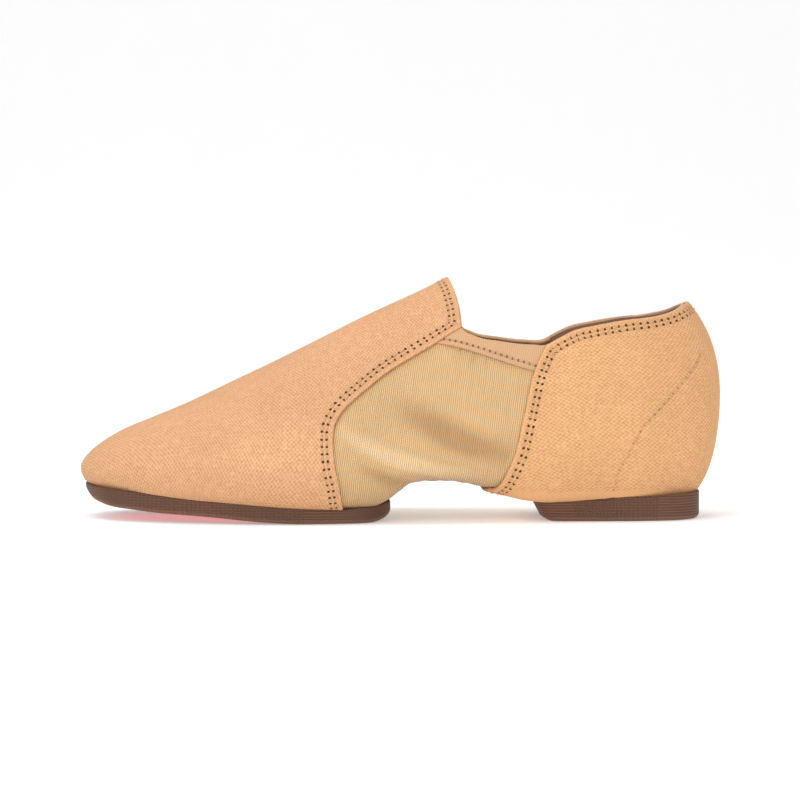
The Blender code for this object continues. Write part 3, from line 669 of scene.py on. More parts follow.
def cover_edge(front_zone, front_heights, top_zones):
    """Edge of a cover: up its lateral end, round the top line and down its medial end."""
    up = skin_line(LATERAL, (front_zone, front_zone), front_heights)
    over = skin_line(LATERAL, top_zones, (1.0, 1.0))
    back = skin_line(MEDIAL, top_zones[::-1], (1.0, 1.0))
    down = skin_line(MEDIAL, (front_zone, front_zone), front_heights[::-1])
    return Edge(np.vstack((up, over[1:], back[1:], down[1:])))


vamp_edge = cover_edge(1.0, (-1.0, 1.0), (1.0, PEAK_SHARE))
quarter_edge = cover_edge(2.0, (-2.0, 1.0), (2.0, 3.0))
print("vamp edge", round(vamp_edge.length * 1000), "mm, quarter edge",
      round(quarter_edge.length * 1000), "mm")

# %% [markdown]
# Cloth never lies dead flat. The gusset is the only part that is pulled, and it
# folds where the pull runs from the sole's corner up to the top line. Each fold
# is a line drawn on the side of the shoe, with a height and a width, all in
# millimetres. Negative heights are troughs. A cloth simulation would also fold,
# but the folds would not be the ones this shoe has.

# %% Folds and soft waves
FOLDS = (
    (LATERAL, -1.80, 5.4, ((121, 45), (131, 39.5), (142, 33.0), (154, 28.0), (168, 24.5))),
    (LATERAL, 1.25, 4.0, ((98, 40), (104, 33), (118, 25.5), (136, 19.5), (157, 16))),
    (LATERAL, -1.20, 2.8, ((107, 23), (114, 18.5), (121, 15), (130, 11))),
    (LATERAL, -0.30, 1.5, ((128, 17.0), (136, 14.5), (145, 12.5))),
    (LATERAL, 0.45, 3.8, ((108, 51), (122, 52), (140, 51), (163, 44))),
    (LATERAL, -0.22, 0.8, ((160, 20), (164, 15), (165, 10))),
    (LATERAL, 0.22, 0.8, ((157.5, 20), (161, 15), (162, 10))),
    (LATERAL, -0.55, 0.9, ((144.5, 66.5), (145.5, 61))),
    (LATERAL, -0.55, 0.9, ((149.5, 64.5), (150.0, 59))),
    (LATERAL, -0.45, 0.9, ((154.5, 62.5), (154.5, 57.5))),
    (MEDIAL, -0.90, 2.8, ((130, 40), (143, 35), (154, 31), (164, 28))),
    (MEDIAL, 0.70, 3.2, ((104, 32), (120, 26), (138, 24), (157, 27))),
    (MEDIAL, -0.60, 2.0, ((116, 20), (124, 16), (132, 13))),
    (MEDIAL, -0.45, 1.9, ((146, 24), (155, 20), (163, 17))),
)


def fold_depth(points, side):
    """Outward shift that the folds give to points of the gusset."""
    total = np.zeros(len(points))
    for fold_side, height, width, line in FOLDS:
        chosen = np.flatnonzero(side == fold_side)
        path = np.array(line) * 0.001
        walked = walk(path)
        run = np.linspace(0.0, walked[-1], 40)
        dots = np.column_stack([np.interp(run, walked, path[:, k]) for k in (0, 1)])
        gaps = np.linalg.norm(points[chosen][:, None, [0, 2]] - dots[None], axis=2)
        nearest = gaps.argmin(axis=1)
        taper = np.sin(np.pi * (0.08 + 0.84 * run[nearest] / walked[-1]))
        beside = gaps.min(axis=1) / (0.001 * width)
        total[chosen] += 0.001 * height * taper * np.exp(-beside ** 2)
    return total


def soft_wave(points, size):
    """Slow unevenness of canvas, the same everywhere on the shoe."""
    x, y, z = (points * 1000).T
    wave = np.sin(x / 7.1 + 0.9 * np.sin(z / 9.0)) * np.sin(z / 6.3 + y / 11.0)
    wave += 0.6 * np.sin(x / 3.9 - z / 4.7 + 1.3) * np.sin(y / 5.2 + 0.4)
    return size * wave


print("folds:", len(FOLDS))

# %% [markdown]
# Each cover is folded in at its edge and stitched down, which leaves a rounded
# lip, a furrow under each row of stitches and a soft ridge between them. The
# profile across the rim is one short table in millimetres, and the grid lines
# come closer together there, so the rim is real shape and throws a shadow.
# A Bevel modifier would round the edge but give no furrows.

# %% Rim of the canvas
RIM_STOPS = (0.0, 0.2, 0.5, 1.0, 1.6, 2.3, 3.1, 4.1, 5.1, 6.3)
RIM_HEIGHTS = (-0.20, 0.12, 0.26, 0.32, 0.26, 0.04, 0.22, 0.00, 0.13, 0.10)
RIM_END = 9.0
FINE = 0.001 * np.array(RIM_STOPS)


def grid_lines(start, end, length, step, fine_start=False, fine_end=False, also=()):
    """Grid lines from start to end, closer together at the ends that are edges."""
    low = FINE if fine_start else np.zeros(1)
    high = length - FINE[::-1] if fine_end else np.array([length])
    count = max(int(round((high[0] - low[-1]) / step)), 1)
    places = np.concatenate((low, np.linspace(low[-1], high[0], count + 1)[1:-1], high))
    return np.unique(np.concatenate((start + (end - start) * places / length, also)))


def rim_profile(far):
    """Height of a canvas cover near its folded and stitched edge."""
    return 0.001 * np.interp(far * 1000, (*RIM_STOPS, RIM_END), (*RIM_HEIGHTS, 0.0))


print("rim height mm at 1 and 2.3 mm:",
      np.round(rim_profile(np.array([0.001, 0.0023])) * 1000, 2))

# %% [markdown]
# The vamp is one piece of canvas over the toes, folded in at its edge and held
# by two rows of stitching. It is a patch from the toe to the vamp's edge. The
# distances kept on its points tell the material where the needle holes are and
# how near the sole is. A painted mask could say the same, but not as sharply.

# %% Vamp
CANVAS_STEP = 0.00125
VAMP_LENGTH, VAMP_GIRTH = 0.107, 0.060
VAMP_SOLE_LIP = 0.0045
VAMP_WAVE = 0.00006
vamp = Patch(grid_lines(0.0, 1.0, VAMP_LENGTH, CANVAS_STEP, fine_end=True, also=(PEAK_SHARE,)),
             np.concatenate((np.linspace(-1.0, 0.0, 9)[:-1],
                             grid_lines(0.0, 1.0, VAMP_GIRTH, CANVAS_STEP, fine_end=True))))
far, run = vamp_edge.measure(vamp.points)
vamp_outer = rim_profile(far) + soft_wave(vamp.points, VAMP_WAVE)
canvas_vamp = sheet("canvas_vamp", vamp, vamp_outer, -CANVAS,
                    {"edge_far": far, "edge_run": run,
                     "above_sole": vamp.points[:, 2] - VAMP_SOLE_LIP})
dress(canvas_vamp, "vamp")
print("faces of the vamp:", len(canvas_vamp.data.polygons))

# %% [markdown]
# The quarter is the same canvas round the heel, two halves joined by a seam
# down the back, with a stiff counter sewn in behind a second seam. Both seams
# are drawn as edges, and the cloth sinks along them. It has no floor over the
# heel pad, which closes the shoe there. A seam could be cut as a loop of the
# mesh, but then it would have to follow the grid.

# %% Quarter
QUARTER_STEP = 0.0012
QUARTER_LENGTH, QUARTER_GIRTH = 0.095, 0.047
QUARTER_SOLE_LIP = 0.0095
QUARTER_WAVE = 0.00007
QUARTER_HOLE_ZONE = 2.27
HOLE_EDGE = -1.3


def seam_edge(side, table):
    """Seam drawn on the side of the last, as an edge to measure from."""
    rows = np.array(table)
    stations = np.linspace(0.0, len(rows) - 1.0, 120)
    place, rise = seen_at(side, rows[:, 0] * LENGTH, rows[:, 1] * INSTEP_HEIGHT)
    pairs = Curve(np.column_stack((np.arange(len(rows)), place, rise))).read(stations)
    return Edge(form_point(side, pairs[:, 0], pairs[:, 1]))


counter_seam = {side: seam_edge(side, COUNTER_SEAM) for side in SIDES}
back_seam = Edge(skin_line(LATERAL, (3.0, 3.0), (-1.0, 1.0)))
quarter = Patch(grid_lines(2.0, 3.0, QUARTER_LENGTH, QUARTER_STEP, fine_start=True),
                np.concatenate((np.linspace(-2.0, -1.0, 7)[:-1], np.linspace(-1.0, 0.0, 15)[:-1],
                                grid_lines(0.0, 1.0, QUARTER_GIRTH, QUARTER_STEP, fine_end=True))))
far, run = quarter_edge.measure(quarter.points)
back_far, _ = back_seam.measure(quarter.points)
seams = {side: counter_seam[side].measure(quarter.points) for side in SIDES}
seam_far, seam_run = (np.where(quarter.side == LATERAL, seams[LATERAL][k], seams[MEDIAL][k])
                      for k in (0, 1))
quarter_outer = rim_profile(far) + soft_wave(quarter.points, QUARTER_WAVE)
quarter_outer -= 0.00022 * np.exp(-(seam_far / 0.0009) ** 2)
quarter_outer += 0.00014 * np.exp(-((back_far - 0.0012) / 0.0008) ** 2)
quarter_outer -= 0.00028 * np.exp(-(back_far / 0.0005) ** 2)
in_heel_hole = quarter.zone[quarter.faces].mean(axis=1) > QUARTER_HOLE_ZONE
in_heel_hole &= quarter.height[quarter.faces].mean(axis=1) < HOLE_EDGE
canvas_quarter = sheet("canvas_quarter", quarter, quarter_outer, -CANVAS,
                       {"edge_far": far, "edge_run": run, "seam_far": seam_far,
                        "seam_run": seam_run,
                        "above_sole": quarter.points[:, 2] - QUARTER_SOLE_LIP},
                       keep=~in_heel_hole)
dress(canvas_quarter, "quarter")
print("faces of the quarter:", len(canvas_quarter.data.polygons))

# %% [markdown]
# Under the canvas sits one stretch shell: satin outside in the gusset, lining
# everywhere else. It could be cut from a cloth for each, but one shell leaves
# no gap at a seam. It is fine where it is seen and coarse where the canvas
# covers it. Its underside is open where the two pads close the shoe.

# %% Stretch shell with its gusset
HALF_UNDERSIDE = 0.035
ARCH_SEAM_DEPTH = 0.0005
PUCKER_DEPTH = 0.00010
COLLAR_FOLD = 0.00035
FOREFOOT_HOLE_ZONE, HEEL_HOLE_ZONE = 13 / 14, 2.0 + 3 / 11


def along_collar(zone):
    """0 in front of the quarter's collar, rising to 1 along it."""
    return np.clip((zone - 2.25) / 0.3, 0.0, 1.0)


def shell_height(side, zone, height):
    """Let the lining stand a little above the canvas along the collar of the quarter."""
    raised = along_collar(zone) * np.clip((height - 0.95) / 0.05, 0.0, 1.0)
    return height + 0.022 * raised


shell_zones = np.unique(np.concatenate((
    np.linspace(0.0, 0.96, 34), np.linspace(0.96, 1.0, 5), np.linspace(1.0, 2.0, 64),
    np.linspace(2.0, 2.06, 4), np.linspace(2.06, 3.0, 34), (PEAK_SHARE,))))
shell_heights = np.concatenate((
    -2.0 + 0.0012 / HALF_UNDERSIDE * np.arange(3), np.linspace(-1.9, -1.0, 12)[:-1],
    np.linspace(-1.0, 0.0, 15)[:-1], np.linspace(0.0, 0.96, 47)[:-1],
    (0.96, 0.975, 0.985, 0.993, 1.0)))
shell = Patch(shell_zones, shell_heights, height_of=shell_height)
fold = fold_depth(shell.points, shell.side)
in_gusset = np.clip(np.minimum(shell.zone - 1.0, 2.0 - shell.zone) / 0.03, 0.0, 1.0)
fold *= in_gusset
middle_far = np.abs(shell.height + 2.0) * HALF_UNDERSIDE
arch_seam = -ARCH_SEAM_DEPTH * np.exp(-(middle_far / 0.0011) ** 2) * in_gusset
tuck = np.clip((-1.0 - shell.height) / 0.3, 0.0, 1.0)
puckers = PUCKER_DEPTH * tuck * in_gusset * np.sin(shell.points[:, 0] / 0.00085)
shell_outer = SHELL_OUTER + fold + arch_seam + puckers
shell_inner = SHELL_INNER + fold
top_edge = np.clip((shell.height - 0.985) / 0.037, 0.0, 1.0) * along_collar(shell.zone)
shell_outer -= COLLAR_FOLD * top_edge ** 2
shell_inner += COLLAR_FOLD * top_edge ** 2
stations = np.linspace(1.0, 2.0, 60)
band_low = np.where(shell.side == LATERAL,
                    *(np.interp(shell.zone, stations, band_level(side, stations))
                      for side in SIDES))
under_band = np.clip((shell.height - band_low) / 0.01, 0.0, 1.0)
under_band *= (shell.zone > 0.99) & (shell.zone < 2.01)
zone_of_face = shell.zone[shell.faces].mean(axis=1)
hole = (zone_of_face < FOREFOOT_HOLE_ZONE) | (zone_of_face > HEEL_HOLE_ZONE)
hole &= shell.height[shell.faces].mean(axis=1) < HOLE_EDGE
stretch_upper = sheet("stretch_upper", shell, shell_outer, shell_inner,
                      {"zone": shell.zone, "level": shell.height, "middle_far": middle_far,
                       "under_band": under_band, "collar_edge": top_edge, "fold": fold * 1000},
                      keep=~hole)
dress(stretch_upper, "upper")
print("faces of the shell:", len(stretch_upper.data.polygons))

# %% [markdown]
# A thin brushed sock lining lies on the floor inside and turns up a little at
# its edge. It is the same skin as the shell, only further in, so it can't cut
# through it, as a flat plane pushed into place would.

# %% Sock lining
sock = Patch(np.linspace(0.0, 3.0, 90), np.linspace(-2.0, -0.86, 14))
sock_lining = sheet("sock_lining", sock, INSOLE_LOWER, INSOLE_LOWER - INSOLE)
dress(sock_lining, "insole")
print("faces of the sock lining:", len(sock_lining.data.polygons))

# %% [markdown]
# A stretch band is folded over the gusset's top edge. Its ends go under the
# canvas, so it stands a little proud in the middle and sinks towards both ends.
# The lower edge is a thin lip that throws a dark line on the satin. A curve
# with a flat profile would make a strip too, but it would not bend with the
# side of the shoe, so the band is one more patch of the last.

# %% Way of a stretch band
BAND_CEILING = 0.0733


def band_site(side, station, share):
    """Points of a band: down the sections of the last from the top line."""
    corner, end = vamp_line[side].at(1.0), quarter_line[side].at(1.0)
    place = corner - 0.62 + (end - corner + 0.92) * station
    corner_x = form_point(side, corner, 0.5)[0]

    def over(line):
        def above(rise):
            point = form_point(side, place, rise)
            return point[..., 2] > line(point[..., 0])
        return bisect(np.full(place.shape, 0.15), np.full(place.shape, 0.97), above)
    low = over(lambda x: band_curve.at(x / LENGTH) * INSTEP_HEIGHT)
    top = over(lambda x: np.where(x < corner_x, BAND_CEILING,
                                  np.minimum(collar_height(x), BAND_CEILING)))
    rise = low + (top - low) * share
    return form_point(side, place, rise), cloth_lengths(side, place, rise)


def under_canvas(points, side):
    """Distance into the gusset from the canvas edges, negative under the canvas."""
    vamp_far, _ = vamp_edge.measure(points)
    quarter_far, _ = quarter_edge.measure(points)
    heights = np.linspace(0.3, 1.0, 90)
    front, back = (skin_point(side, np.full(90, zone), heights) for zone in (1.0, 2.0))
    under_vamp = points[:, 2] > np.interp(points[:, 0], front[:, 0], front[:, 2])
    under_vamp &= points[:, 0] < front[-1, 0] + 0.0002
    under_quarter = points[:, 0] > np.interp(points[:, 2], back[:, 2], back[:, 0])
    return np.minimum(np.where(under_vamp, -vamp_far, vamp_far),
                      np.where(under_quarter, -quarter_far, quarter_far))


band_start = band_site(LATERAL, np.zeros(1), np.zeros(1))[0][0]
print("lateral band starts at mm", np.round(band_start * 1000))

# %% [markdown]
# Across its width the band has a lip, a furrow under its stitches, a soft belly
# and a fold at the top. Two short tables give its face and its back, in
# millimetres, and a fine wrinkle keeps it from looking moulded.

# %% Stretch bands
BAND_ROW = 0.0021
BAND_SHARES = np.array((0.0, 0.03, 0.08, 0.14, 0.19, 0.24, 0.30, 0.40, 0.50, 0.60, 0.70,
                        0.80, 0.88, 0.93, 0.97, 1.0, 1.03, 1.05))
BAND_FACE = ((0.0, 0.03, 0.08, 0.19, 0.24, 0.30, 0.70, 0.93, 0.97, 1.0, 1.03, 1.05),
             (-0.55, -0.05, 0.10, -0.10, -0.12, 0.08, 0.16, 0.10, 0.0, -0.15, -0.6, -1.2))
BAND_BACK = ((0.0, 0.86, 0.90, 1.0, 1.03, 1.05),
             (-1.0, -1.0, -2.75, -2.75, -2.4, -1.9))
BAND_SINK = ((-1.0, 0.0, 3.5), (1.25, 0.75, 0.0))
band_edges, bands = {}, {}
for side, name, node in ((LATERAL, "stretch_band_lateral", "band_lateral"),
                         (MEDIAL, "stretch_band_medial", "band_medial")):
    band = Patch(np.linspace(0.0, 1.0, 96), BAND_SHARES, sides=(side,), site_of=band_site)
    band_edges[side] = Edge(band.points[::len(BAND_SHARES)])
    far, run = band_edges[side].measure(band.points)
    inward = under_canvas(band.points, side)
    profile = np.interp(band.height, *BAND_FACE)
    wrinkle = 0.05 * np.sin(band.points[:, 0] / 0.0011) * np.sin(3.1 * band.height + 0.4)
    sink = np.interp(inward * 1000, *BAND_SINK)
    outer = 0.001 * (profile + wrinkle - sink)
    back = 0.001 * np.interp(band.height, *BAND_BACK) - 0.0004 * (sink > 0.7)
    bands[side] = sheet(name, band, outer, back, {"edge_far": far, "edge_run": run})
    dress(bands[side], node)
print("band length mm:", round(band_edges[LATERAL].length * 1000))

# %% [markdown]
# The rubber pads are built as stacks of rings that follow their outlines: over
# the tread, round the edge, up the wall and over the lip, down into the cup that
# holds the upper. An outline pushed up by Extrude would need a cut for the cup
# and leave sharp edges. A row of an outline is a share of the length and a
# share of the ball width.

# %% Tables of the rubber pads
TREAD = (
    (0.000, 1.00), (0.012, 0.80), (0.022, 0.64), (0.041, 0.50), (0.093, 0.36),
    (0.212, 0.19), (0.300, 0.04), (0.345, 0.00), (0.450, 0.00), (0.470, 0.05),
    (0.490, 0.22), (0.520, 0.60),
)
PAD_RIM = (
    (0.000, 0.86, 0.75, 0.00), (0.030, 0.80, 0.75, 0.00), (0.073, 0.68, 0.95, 0.00),
    (0.172, 0.42, 1.30, 0.00), (0.290, 0.20, 1.25, 0.00), (0.410, 0.00, 1.45, 0.00),
    (0.490, 0.00, 1.90, 0.00), (0.690, 0.00, 0.00, 1.38), (0.860, 0.00, 0.00, 1.32),
    (0.965, 0.00, 0.00, 1.46), (1.000, 0.00, 0.00, 1.50),
)
FOREPART_OUTLINE = (
    (0.0085, 0.000), (0.0110, -0.090), (0.0400, -0.255), (0.1080, -0.383),
    (0.2140, -0.468), (0.3060, -0.504), (0.3900, -0.492), (0.4560, -0.425),
    (0.4820, -0.300), (0.4840, -0.140), (0.4740, 0.050), (0.4480, 0.180),
    (0.4080, 0.275), (0.3550, 0.338), (0.2800, 0.368), (0.1900, 0.360),
    (0.1120, 0.318), (0.0550, 0.255), (0.0180, 0.140),
)
INSERT_OUTLINE = (
    (0.0500, -0.118), (0.0620, -0.172), (0.1140, -0.266), (0.1840, -0.345),
    (0.2700, -0.400), (0.3220, -0.405), (0.3560, -0.340), (0.3740, -0.220),
    (0.3760, -0.105), (0.3600, 0.003), (0.3220, 0.098), (0.2700, 0.145),
    (0.2000, 0.140), (0.1300, 0.092), (0.0780, 0.050), (0.0560, 0.035),
)
HEEL_OUTLINE = (
    (0.7030, -0.0600), (0.7035, -0.2900), (0.7080, -0.3200), (0.7200, -0.3400),
    (0.7600, -0.3460), (0.8200, -0.3420), (0.8780, -0.3270), (0.9330, -0.2780),
    (0.9575, -0.1980), (0.9658, -0.0900), (0.9658, 0.0000), (0.9555, 0.1100),
    (0.9350, 0.1970), (0.9020, 0.2460), (0.8500, 0.2620), (0.7900, 0.2560),
    (0.7400, 0.2430), (0.7190, 0.2330), (0.7080, 0.2150), (0.7035, 0.1800),
)
PAD_EDGE = 0.0018
HEEL_FRONT_SLOPE = 0.0055
INSERT_THICKNESS = 0.0016
INSERT_RECESS = 0.0002
tread_curve = Curve(TREAD)
rim_curve = Curve(PAD_RIM)


def tread_height(x):
    """Ground side of the forepart pad."""
    return tread_curve.at(x / LENGTH) * TOE_SPRING


def rim_height(x):
    """Upper edge of a pad."""
    return rim_curve.read(x / LENGTH) @ np.array([TOE_SPRING, FOREPART_SEAT, HEEL_SEAT])


def outline_points(table, steps):
    """Smooth closed outline through a table's rows, in even steps, in metres."""
    rows = np.array([(x * LENGTH, y * BALL_WIDTH) for x, y in table])
    around = np.vstack((rows[-3:], rows, rows[:4]))
    reach = walk(around)
    fine = Curve(np.column_stack((reach, around))).read(np.linspace(reach[3], reach[-4], 12 * steps))
    walked = walk(fine)
    stops = np.arange(steps) * walked[-1] / steps
    return np.column_stack([np.interp(stops, walked, fine[:, k]) for k in (0, 1)])


def inset(outline, distance):
    """Move an outline inward by a distance, and mend it where it crosses itself."""
    ahead = np.roll(outline, -1, axis=0) - np.roll(outline, 1, axis=0)
    ahead /= np.linalg.norm(ahead, axis=1)[:, None]
    inward = np.column_stack((-ahead[:, 1], ahead[:, 0]))
    if np.sum(inward * (outline.mean(axis=0) - outline)) < 0:
        inward = -inward
    moved = outline + inward * distance
    if distance < 0.001:
        return moved
    gaps = np.linalg.norm(moved[:, None] - outline[None], axis=2).min(axis=1)
    index, sound = np.arange(len(outline)), gaps > 0.98 * distance
    return np.column_stack([np.interp(index, index[sound], moved[sound, k], period=len(outline))
                            for k in (0, 1)])


print("pad outlines:", len(FOREPART_OUTLINE), len(INSERT_OUTLINE), len(HEEL_OUTLINE), "rows")

# %% [markdown]
# Each pad is one closed body. Rings keep the edge round and the wall even,
# which a cut solid would not. The height of the cup is felt out from below with
# a search tree of the upper's own skin, so rubber and cloth meet without a gap.

# %% Bodies made of rings
CUP_PRESS = 0.0003
LIP_INSETS = (0.12, 0.35, 0.8, 1.2, 1.6, 2.0, 2.5, 3.1, 4.0, 5.5)
skin_offset = np.where((shell.zone > 1.0) & (shell.zone < 2.0), SHELL_OUTER, 0.0)
skin_tree = BVHTree.FromPolygons((shell.points + shell.normals * skin_offset[:, None]).tolist(),
                                 [list(dict.fromkeys(map(int, f))) for f in shell.faces])


def cup_height(ring):
    """Upper face of a pad: its rim, or the upper's skin where that is lower."""
    heights = rim_height(ring[:, 0])
    for k, (x, y) in enumerate(ring):
        hit = skin_tree.ray_cast(Vector((x, y, -0.05)), Vector((0.0, 0.0, 1.0)))[0]
        if hit is not None:
            heights[k] = min(heights[k], hit.z + CUP_PRESS)
    return heights


def gather(ring, spine, share):
    """Draw a ring towards a line along its middle."""
    x = np.clip(ring[:, 0], spine[0], spine[1])
    target = np.column_stack((x, np.full(len(ring), spine[2])))
    return ring + (target - ring) * share


def with_height(ring, height):
    """Three coordinates from an outline and its height or heights."""
    return np.column_stack((ring, np.broadcast_to(height, len(ring))))


def ring_body(name, rings, field=None):
    """Closed body through rings of points, with strips across its two ends."""
    count, total = len(rings[0]), len(rings)
    low = np.arange(count * (total - 1)).reshape(total - 1, count)
    beside = np.roll(low, -1, axis=1)
    faces = np.stack((low, beside, beside + count, low + count), axis=-1).reshape(-1, 4).tolist()
    for base in (0, (total - 1) * count):
        for k in range(count // 2):
            strip = (base + k, base + k + 1,
                     base + (count - k - 1) % count, base + (count - k) % count)
            strip = list(dict.fromkeys(strip))
            if len(strip) > 2:
                faces.append(strip)
    outline = rings[0][:, :2]
    walked = np.cumsum(np.linalg.norm(np.roll(outline, -1, axis=0) - outline, axis=1))
    points = np.vstack(rings)
    uv = np.column_stack((np.tile(walked, total), points[:, 2]))
    thing = new_object(name, points, faces, uv, {"wall": np.repeat(field, count)} if field else None)
    work = bmesh.new()
    work.from_mesh(thing.data)
    bmesh.ops.recalc_face_normals(work, faces=work.faces[:])
    work.to_mesh(thing.data)
    work.free()
    return thing


def upper_rings(outline, spine):
    """Rings of a pad from its lip over the cup to its middle."""
    rings = [inset(outline, distance * 0.001) for distance in LIP_INSETS]
    rings += [gather(rings[-1], spine, share) for share in (0.3, 0.65, 0.97)]
    return [with_height(ring, cup_height(ring)) for ring in rings]


lowest_cup = cup_height(np.array([[0.060, -0.008], [0.205, -0.004]]))
print("cup over the ball and the heel, mm:", np.round(lowest_cup * 1000, 1))

# %% [markdown]
# The forefoot pad has a pocket for the red insert, and a fine groove runs
# round its tread. Its rings start in the middle of the pocket, pass over its
# edge and then follow the outline. A Boolean cut could sink the pocket, but it
# would leave long thin faces that shade badly.

# %% Forefoot pad
TREAD_ROWS = ((5.6, 0.10), (5.25, 0.14), (5.1, 0.55), (4.75, 0.55), (4.6, 0.05), (4.2, 0.0),
              (3.0, 0.0), (2.0, 0.0), (1.4, 0.12), (0.8, 0.5), (0.35, 1.0))
POCKET_EDGE = 0.00012
LIP_DROP = 0.00012
STEPS = 360
outline = outline_points(FOREPART_OUTLINE, STEPS)
recess = outline_points(INSERT_OUTLINE, STEPS)
centre = np.array((0.0560, -0.0110))


def polar(ring):
    """Angles, unwrapped and rising, and distances of a ring about the pad's centre."""
    away = ring - centre
    return np.unwrap(np.arctan2(away[:, 1], away[:, 0])), np.linalg.norm(away, axis=1)


outline_angle, _ = polar(outline)
recess_angle, recess_reach = polar(inset(recess, -FIT))
order = np.argsort(recess_angle % math.tau)
reach_at = np.interp(outline_angle % math.tau, (recess_angle % math.tau)[order],
                     recess_reach[order], period=math.tau)
headings = np.column_stack((np.cos(outline_angle), np.sin(outline_angle)))
pocket = centre + reach_at[:, None] * headings
wall_foot = tread_height(outline[:, 0]) + PAD_EDGE
rings = [with_height(gather(pocket, (0.030, 0.080, -0.011), share), 0.0)
         for share in (0.97, 0.5, 0.02, 0.0)]
for ring in rings:
    ring[:, 2] = tread_height(ring[:, 0]) + INSERT_RECESS + INSERT_THICKNESS + FIT
wall = [0.0] * len(rings)
near = inset(outline, 0.0062)
for share in (0.0, 0.03, 0.12, 0.4, 0.7, 1.0):
    ring = pocket + (near - pocket) * share
    raised = 0.00025 * math.exp(-((share - 0.12) / 0.08) ** 2) if share else POCKET_EDGE
    rings.append(with_height(ring, tread_height(ring[:, 0]) + POCKET_EDGE - raised * 0.5))
    wall.append(0.0)
for distance, depth in TREAD_ROWS:
    ring = inset(outline, distance * 0.001)
    rings.append(with_height(ring, tread_height(ring[:, 0]) + depth * 0.001))
    wall.append(0.0 if distance > 1.0 else 0.5)
wall_top = rim_height(outline[:, 0]) - LIP_DROP
for share in (0.0, 0.25, 0.5, 0.75, 1.0):
    rings.append(with_height(outline, wall_foot + (wall_top - wall_foot) * share))
    wall.append(1.0)
top_rings = upper_rings(outline, (0.040, 0.090, -0.008))
rings += top_rings
wall += [1.0] + [0.0] * (len(top_rings) - 1)
gum_forefoot = ring_body("gum_forefoot", rings, wall)
dress(gum_forefoot, "outsole_forefoot")
print("faces of the forefoot pad:", len(gum_forefoot.data.polygons))

# %% [markdown]
# The red insert has a smooth disc on its ground side, a moat round the disc and
# wavy ribs beyond it. The ribs are a cosine of the distance from the disc, bent
# by the angle round it. Depths are in millimetres and go up from the ground. As
# true shape they stay visible in side light, which a bump would not do at a
# grazing view.

# %% Red insert
DISC = np.array((0.0667, -0.0108))
RIB_START, RIB_SPACING, RIB_HALF_DEPTH = 21.5, 4.5, 0.36
MOAT_REACH, MOAT_DEPTH, MOAT_HALF_WIDTH = 20.4, 0.80, 0.60
insert_ring = outline_points(INSERT_OUTLINE, 300)
rings = []
for share in (0.02, 0.5, 1.0):
    ring = DISC + (insert_ring - DISC) * share
    rings.append(with_height(ring, tread_height(ring[:, 0]) + INSERT_RECESS + INSERT_THICKNESS))
for share in np.concatenate((np.linspace(1.0, 0.97, 5), np.linspace(0.96, 0.02, 94))):
    ring = DISC + (insert_ring - DISC) * share
    away = ring - DISC
    reach = np.linalg.norm(away, axis=1) * 1000
    angle = np.arctan2(away[:, 1], away[:, 0])
    bent = reach - RIB_START + 0.8 * np.sin(5.0 * angle + reach / 9.0)
    ribs = RIB_HALF_DEPTH - RIB_HALF_DEPTH * np.cos(math.tau * bent / RIB_SPACING)
    ribs *= np.clip((reach - 21.3) / 1.5, 0.0, 1.0) * np.clip((1.0 - share) / 0.06, 0.0, 1.0)
    moat = MOAT_DEPTH * np.exp(-((reach - MOAT_REACH) / MOAT_HALF_WIDTH) ** 2)
    height = tread_height(ring[:, 0]) + INSERT_RECESS + 0.001 * (ribs + moat)
    if share == 1.0:
        height += 0.00025
    rings.append(with_height(ring, height))
red_insert = ring_body("red_insert", rings)
dress(red_insert, "pivot_insert")
print("faces of the insert:", len(red_insert.data.polygons))

# %% [markdown]
# The heel pad stands on a flat tread with a groove shaped like a horseshoe and
# a finer one outside it. Its front face leans forward towards the waist, and
# its back follows the heel. The groove is nothing but rings that lie higher, so
# its walls need no cut. Distances from the outline are in millimetres.

# %% Heel pad
GROOVE = (7.0, 11.6)
GROOVE_DEPTH = 0.0012
GROOVE_WALL = 0.0006
FLOOR_LIFT = 0.0002
FINE_LINE = 0.0004
HEEL_EDGE_ROWS = ((1.5, 0.0, 1.0), (1.0, 0.2, 1.0), (0.5, 0.6, 0.97), (0.15, 1.1, 0.9))


def slope_front(ring, shift):
    """Push the front line of the heel back by a shift that fades along the pad."""
    front = ring[:, 0].min()
    fade = np.clip(1.0 - (ring[:, 0] - front) / (6.0 * HEEL_FRONT_SLOPE), 0.0, 1.0)
    moved = ring.copy()
    moved[:, 0] += shift * fade
    return moved


outline = outline_points(HEEL_OUTLINE, 320)
spine = (0.192, 0.218, -0.0040)
rings, wall = [], []
groove_near, groove_far = GROOVE
groove_front = outline[:, 0].min() + groove_near * 0.001 + HEEL_FRONT_SLOPE
middle = slope_front(inset(outline, 0.0119), HEEL_FRONT_SLOPE)
for share in (0.97, 0.7, 0.35):
    rings.append(with_height(gather(middle, spine, share), FLOOR_LIFT))
for distance in (groove_far + 0.25, groove_far, groove_far - 0.2, 10.4, 8.5, groove_near + 0.2,
                 groove_near, groove_near - 0.25, 6.0, 4.5, 3.4, 3.2, 2.9, 2.7, 2.0):
    ring = inset(outline, distance * 0.001)
    behind = np.clip((ring[:, 0] - groove_front) / GROOVE_WALL, 0.0, 1.0)
    deep = GROOVE_DEPTH * behind if groove_near + 0.1 < distance < groove_far - 0.1 else 0.0
    line = FINE_LINE if 2.8 < distance < 3.3 else 0.0
    floor = FLOOR_LIFT if distance > groove_far - 0.1 else 0.0
    rings.append(with_height(slope_front(ring, HEEL_FRONT_SLOPE), deep + line + floor))
wall += [0.0] * len(rings)
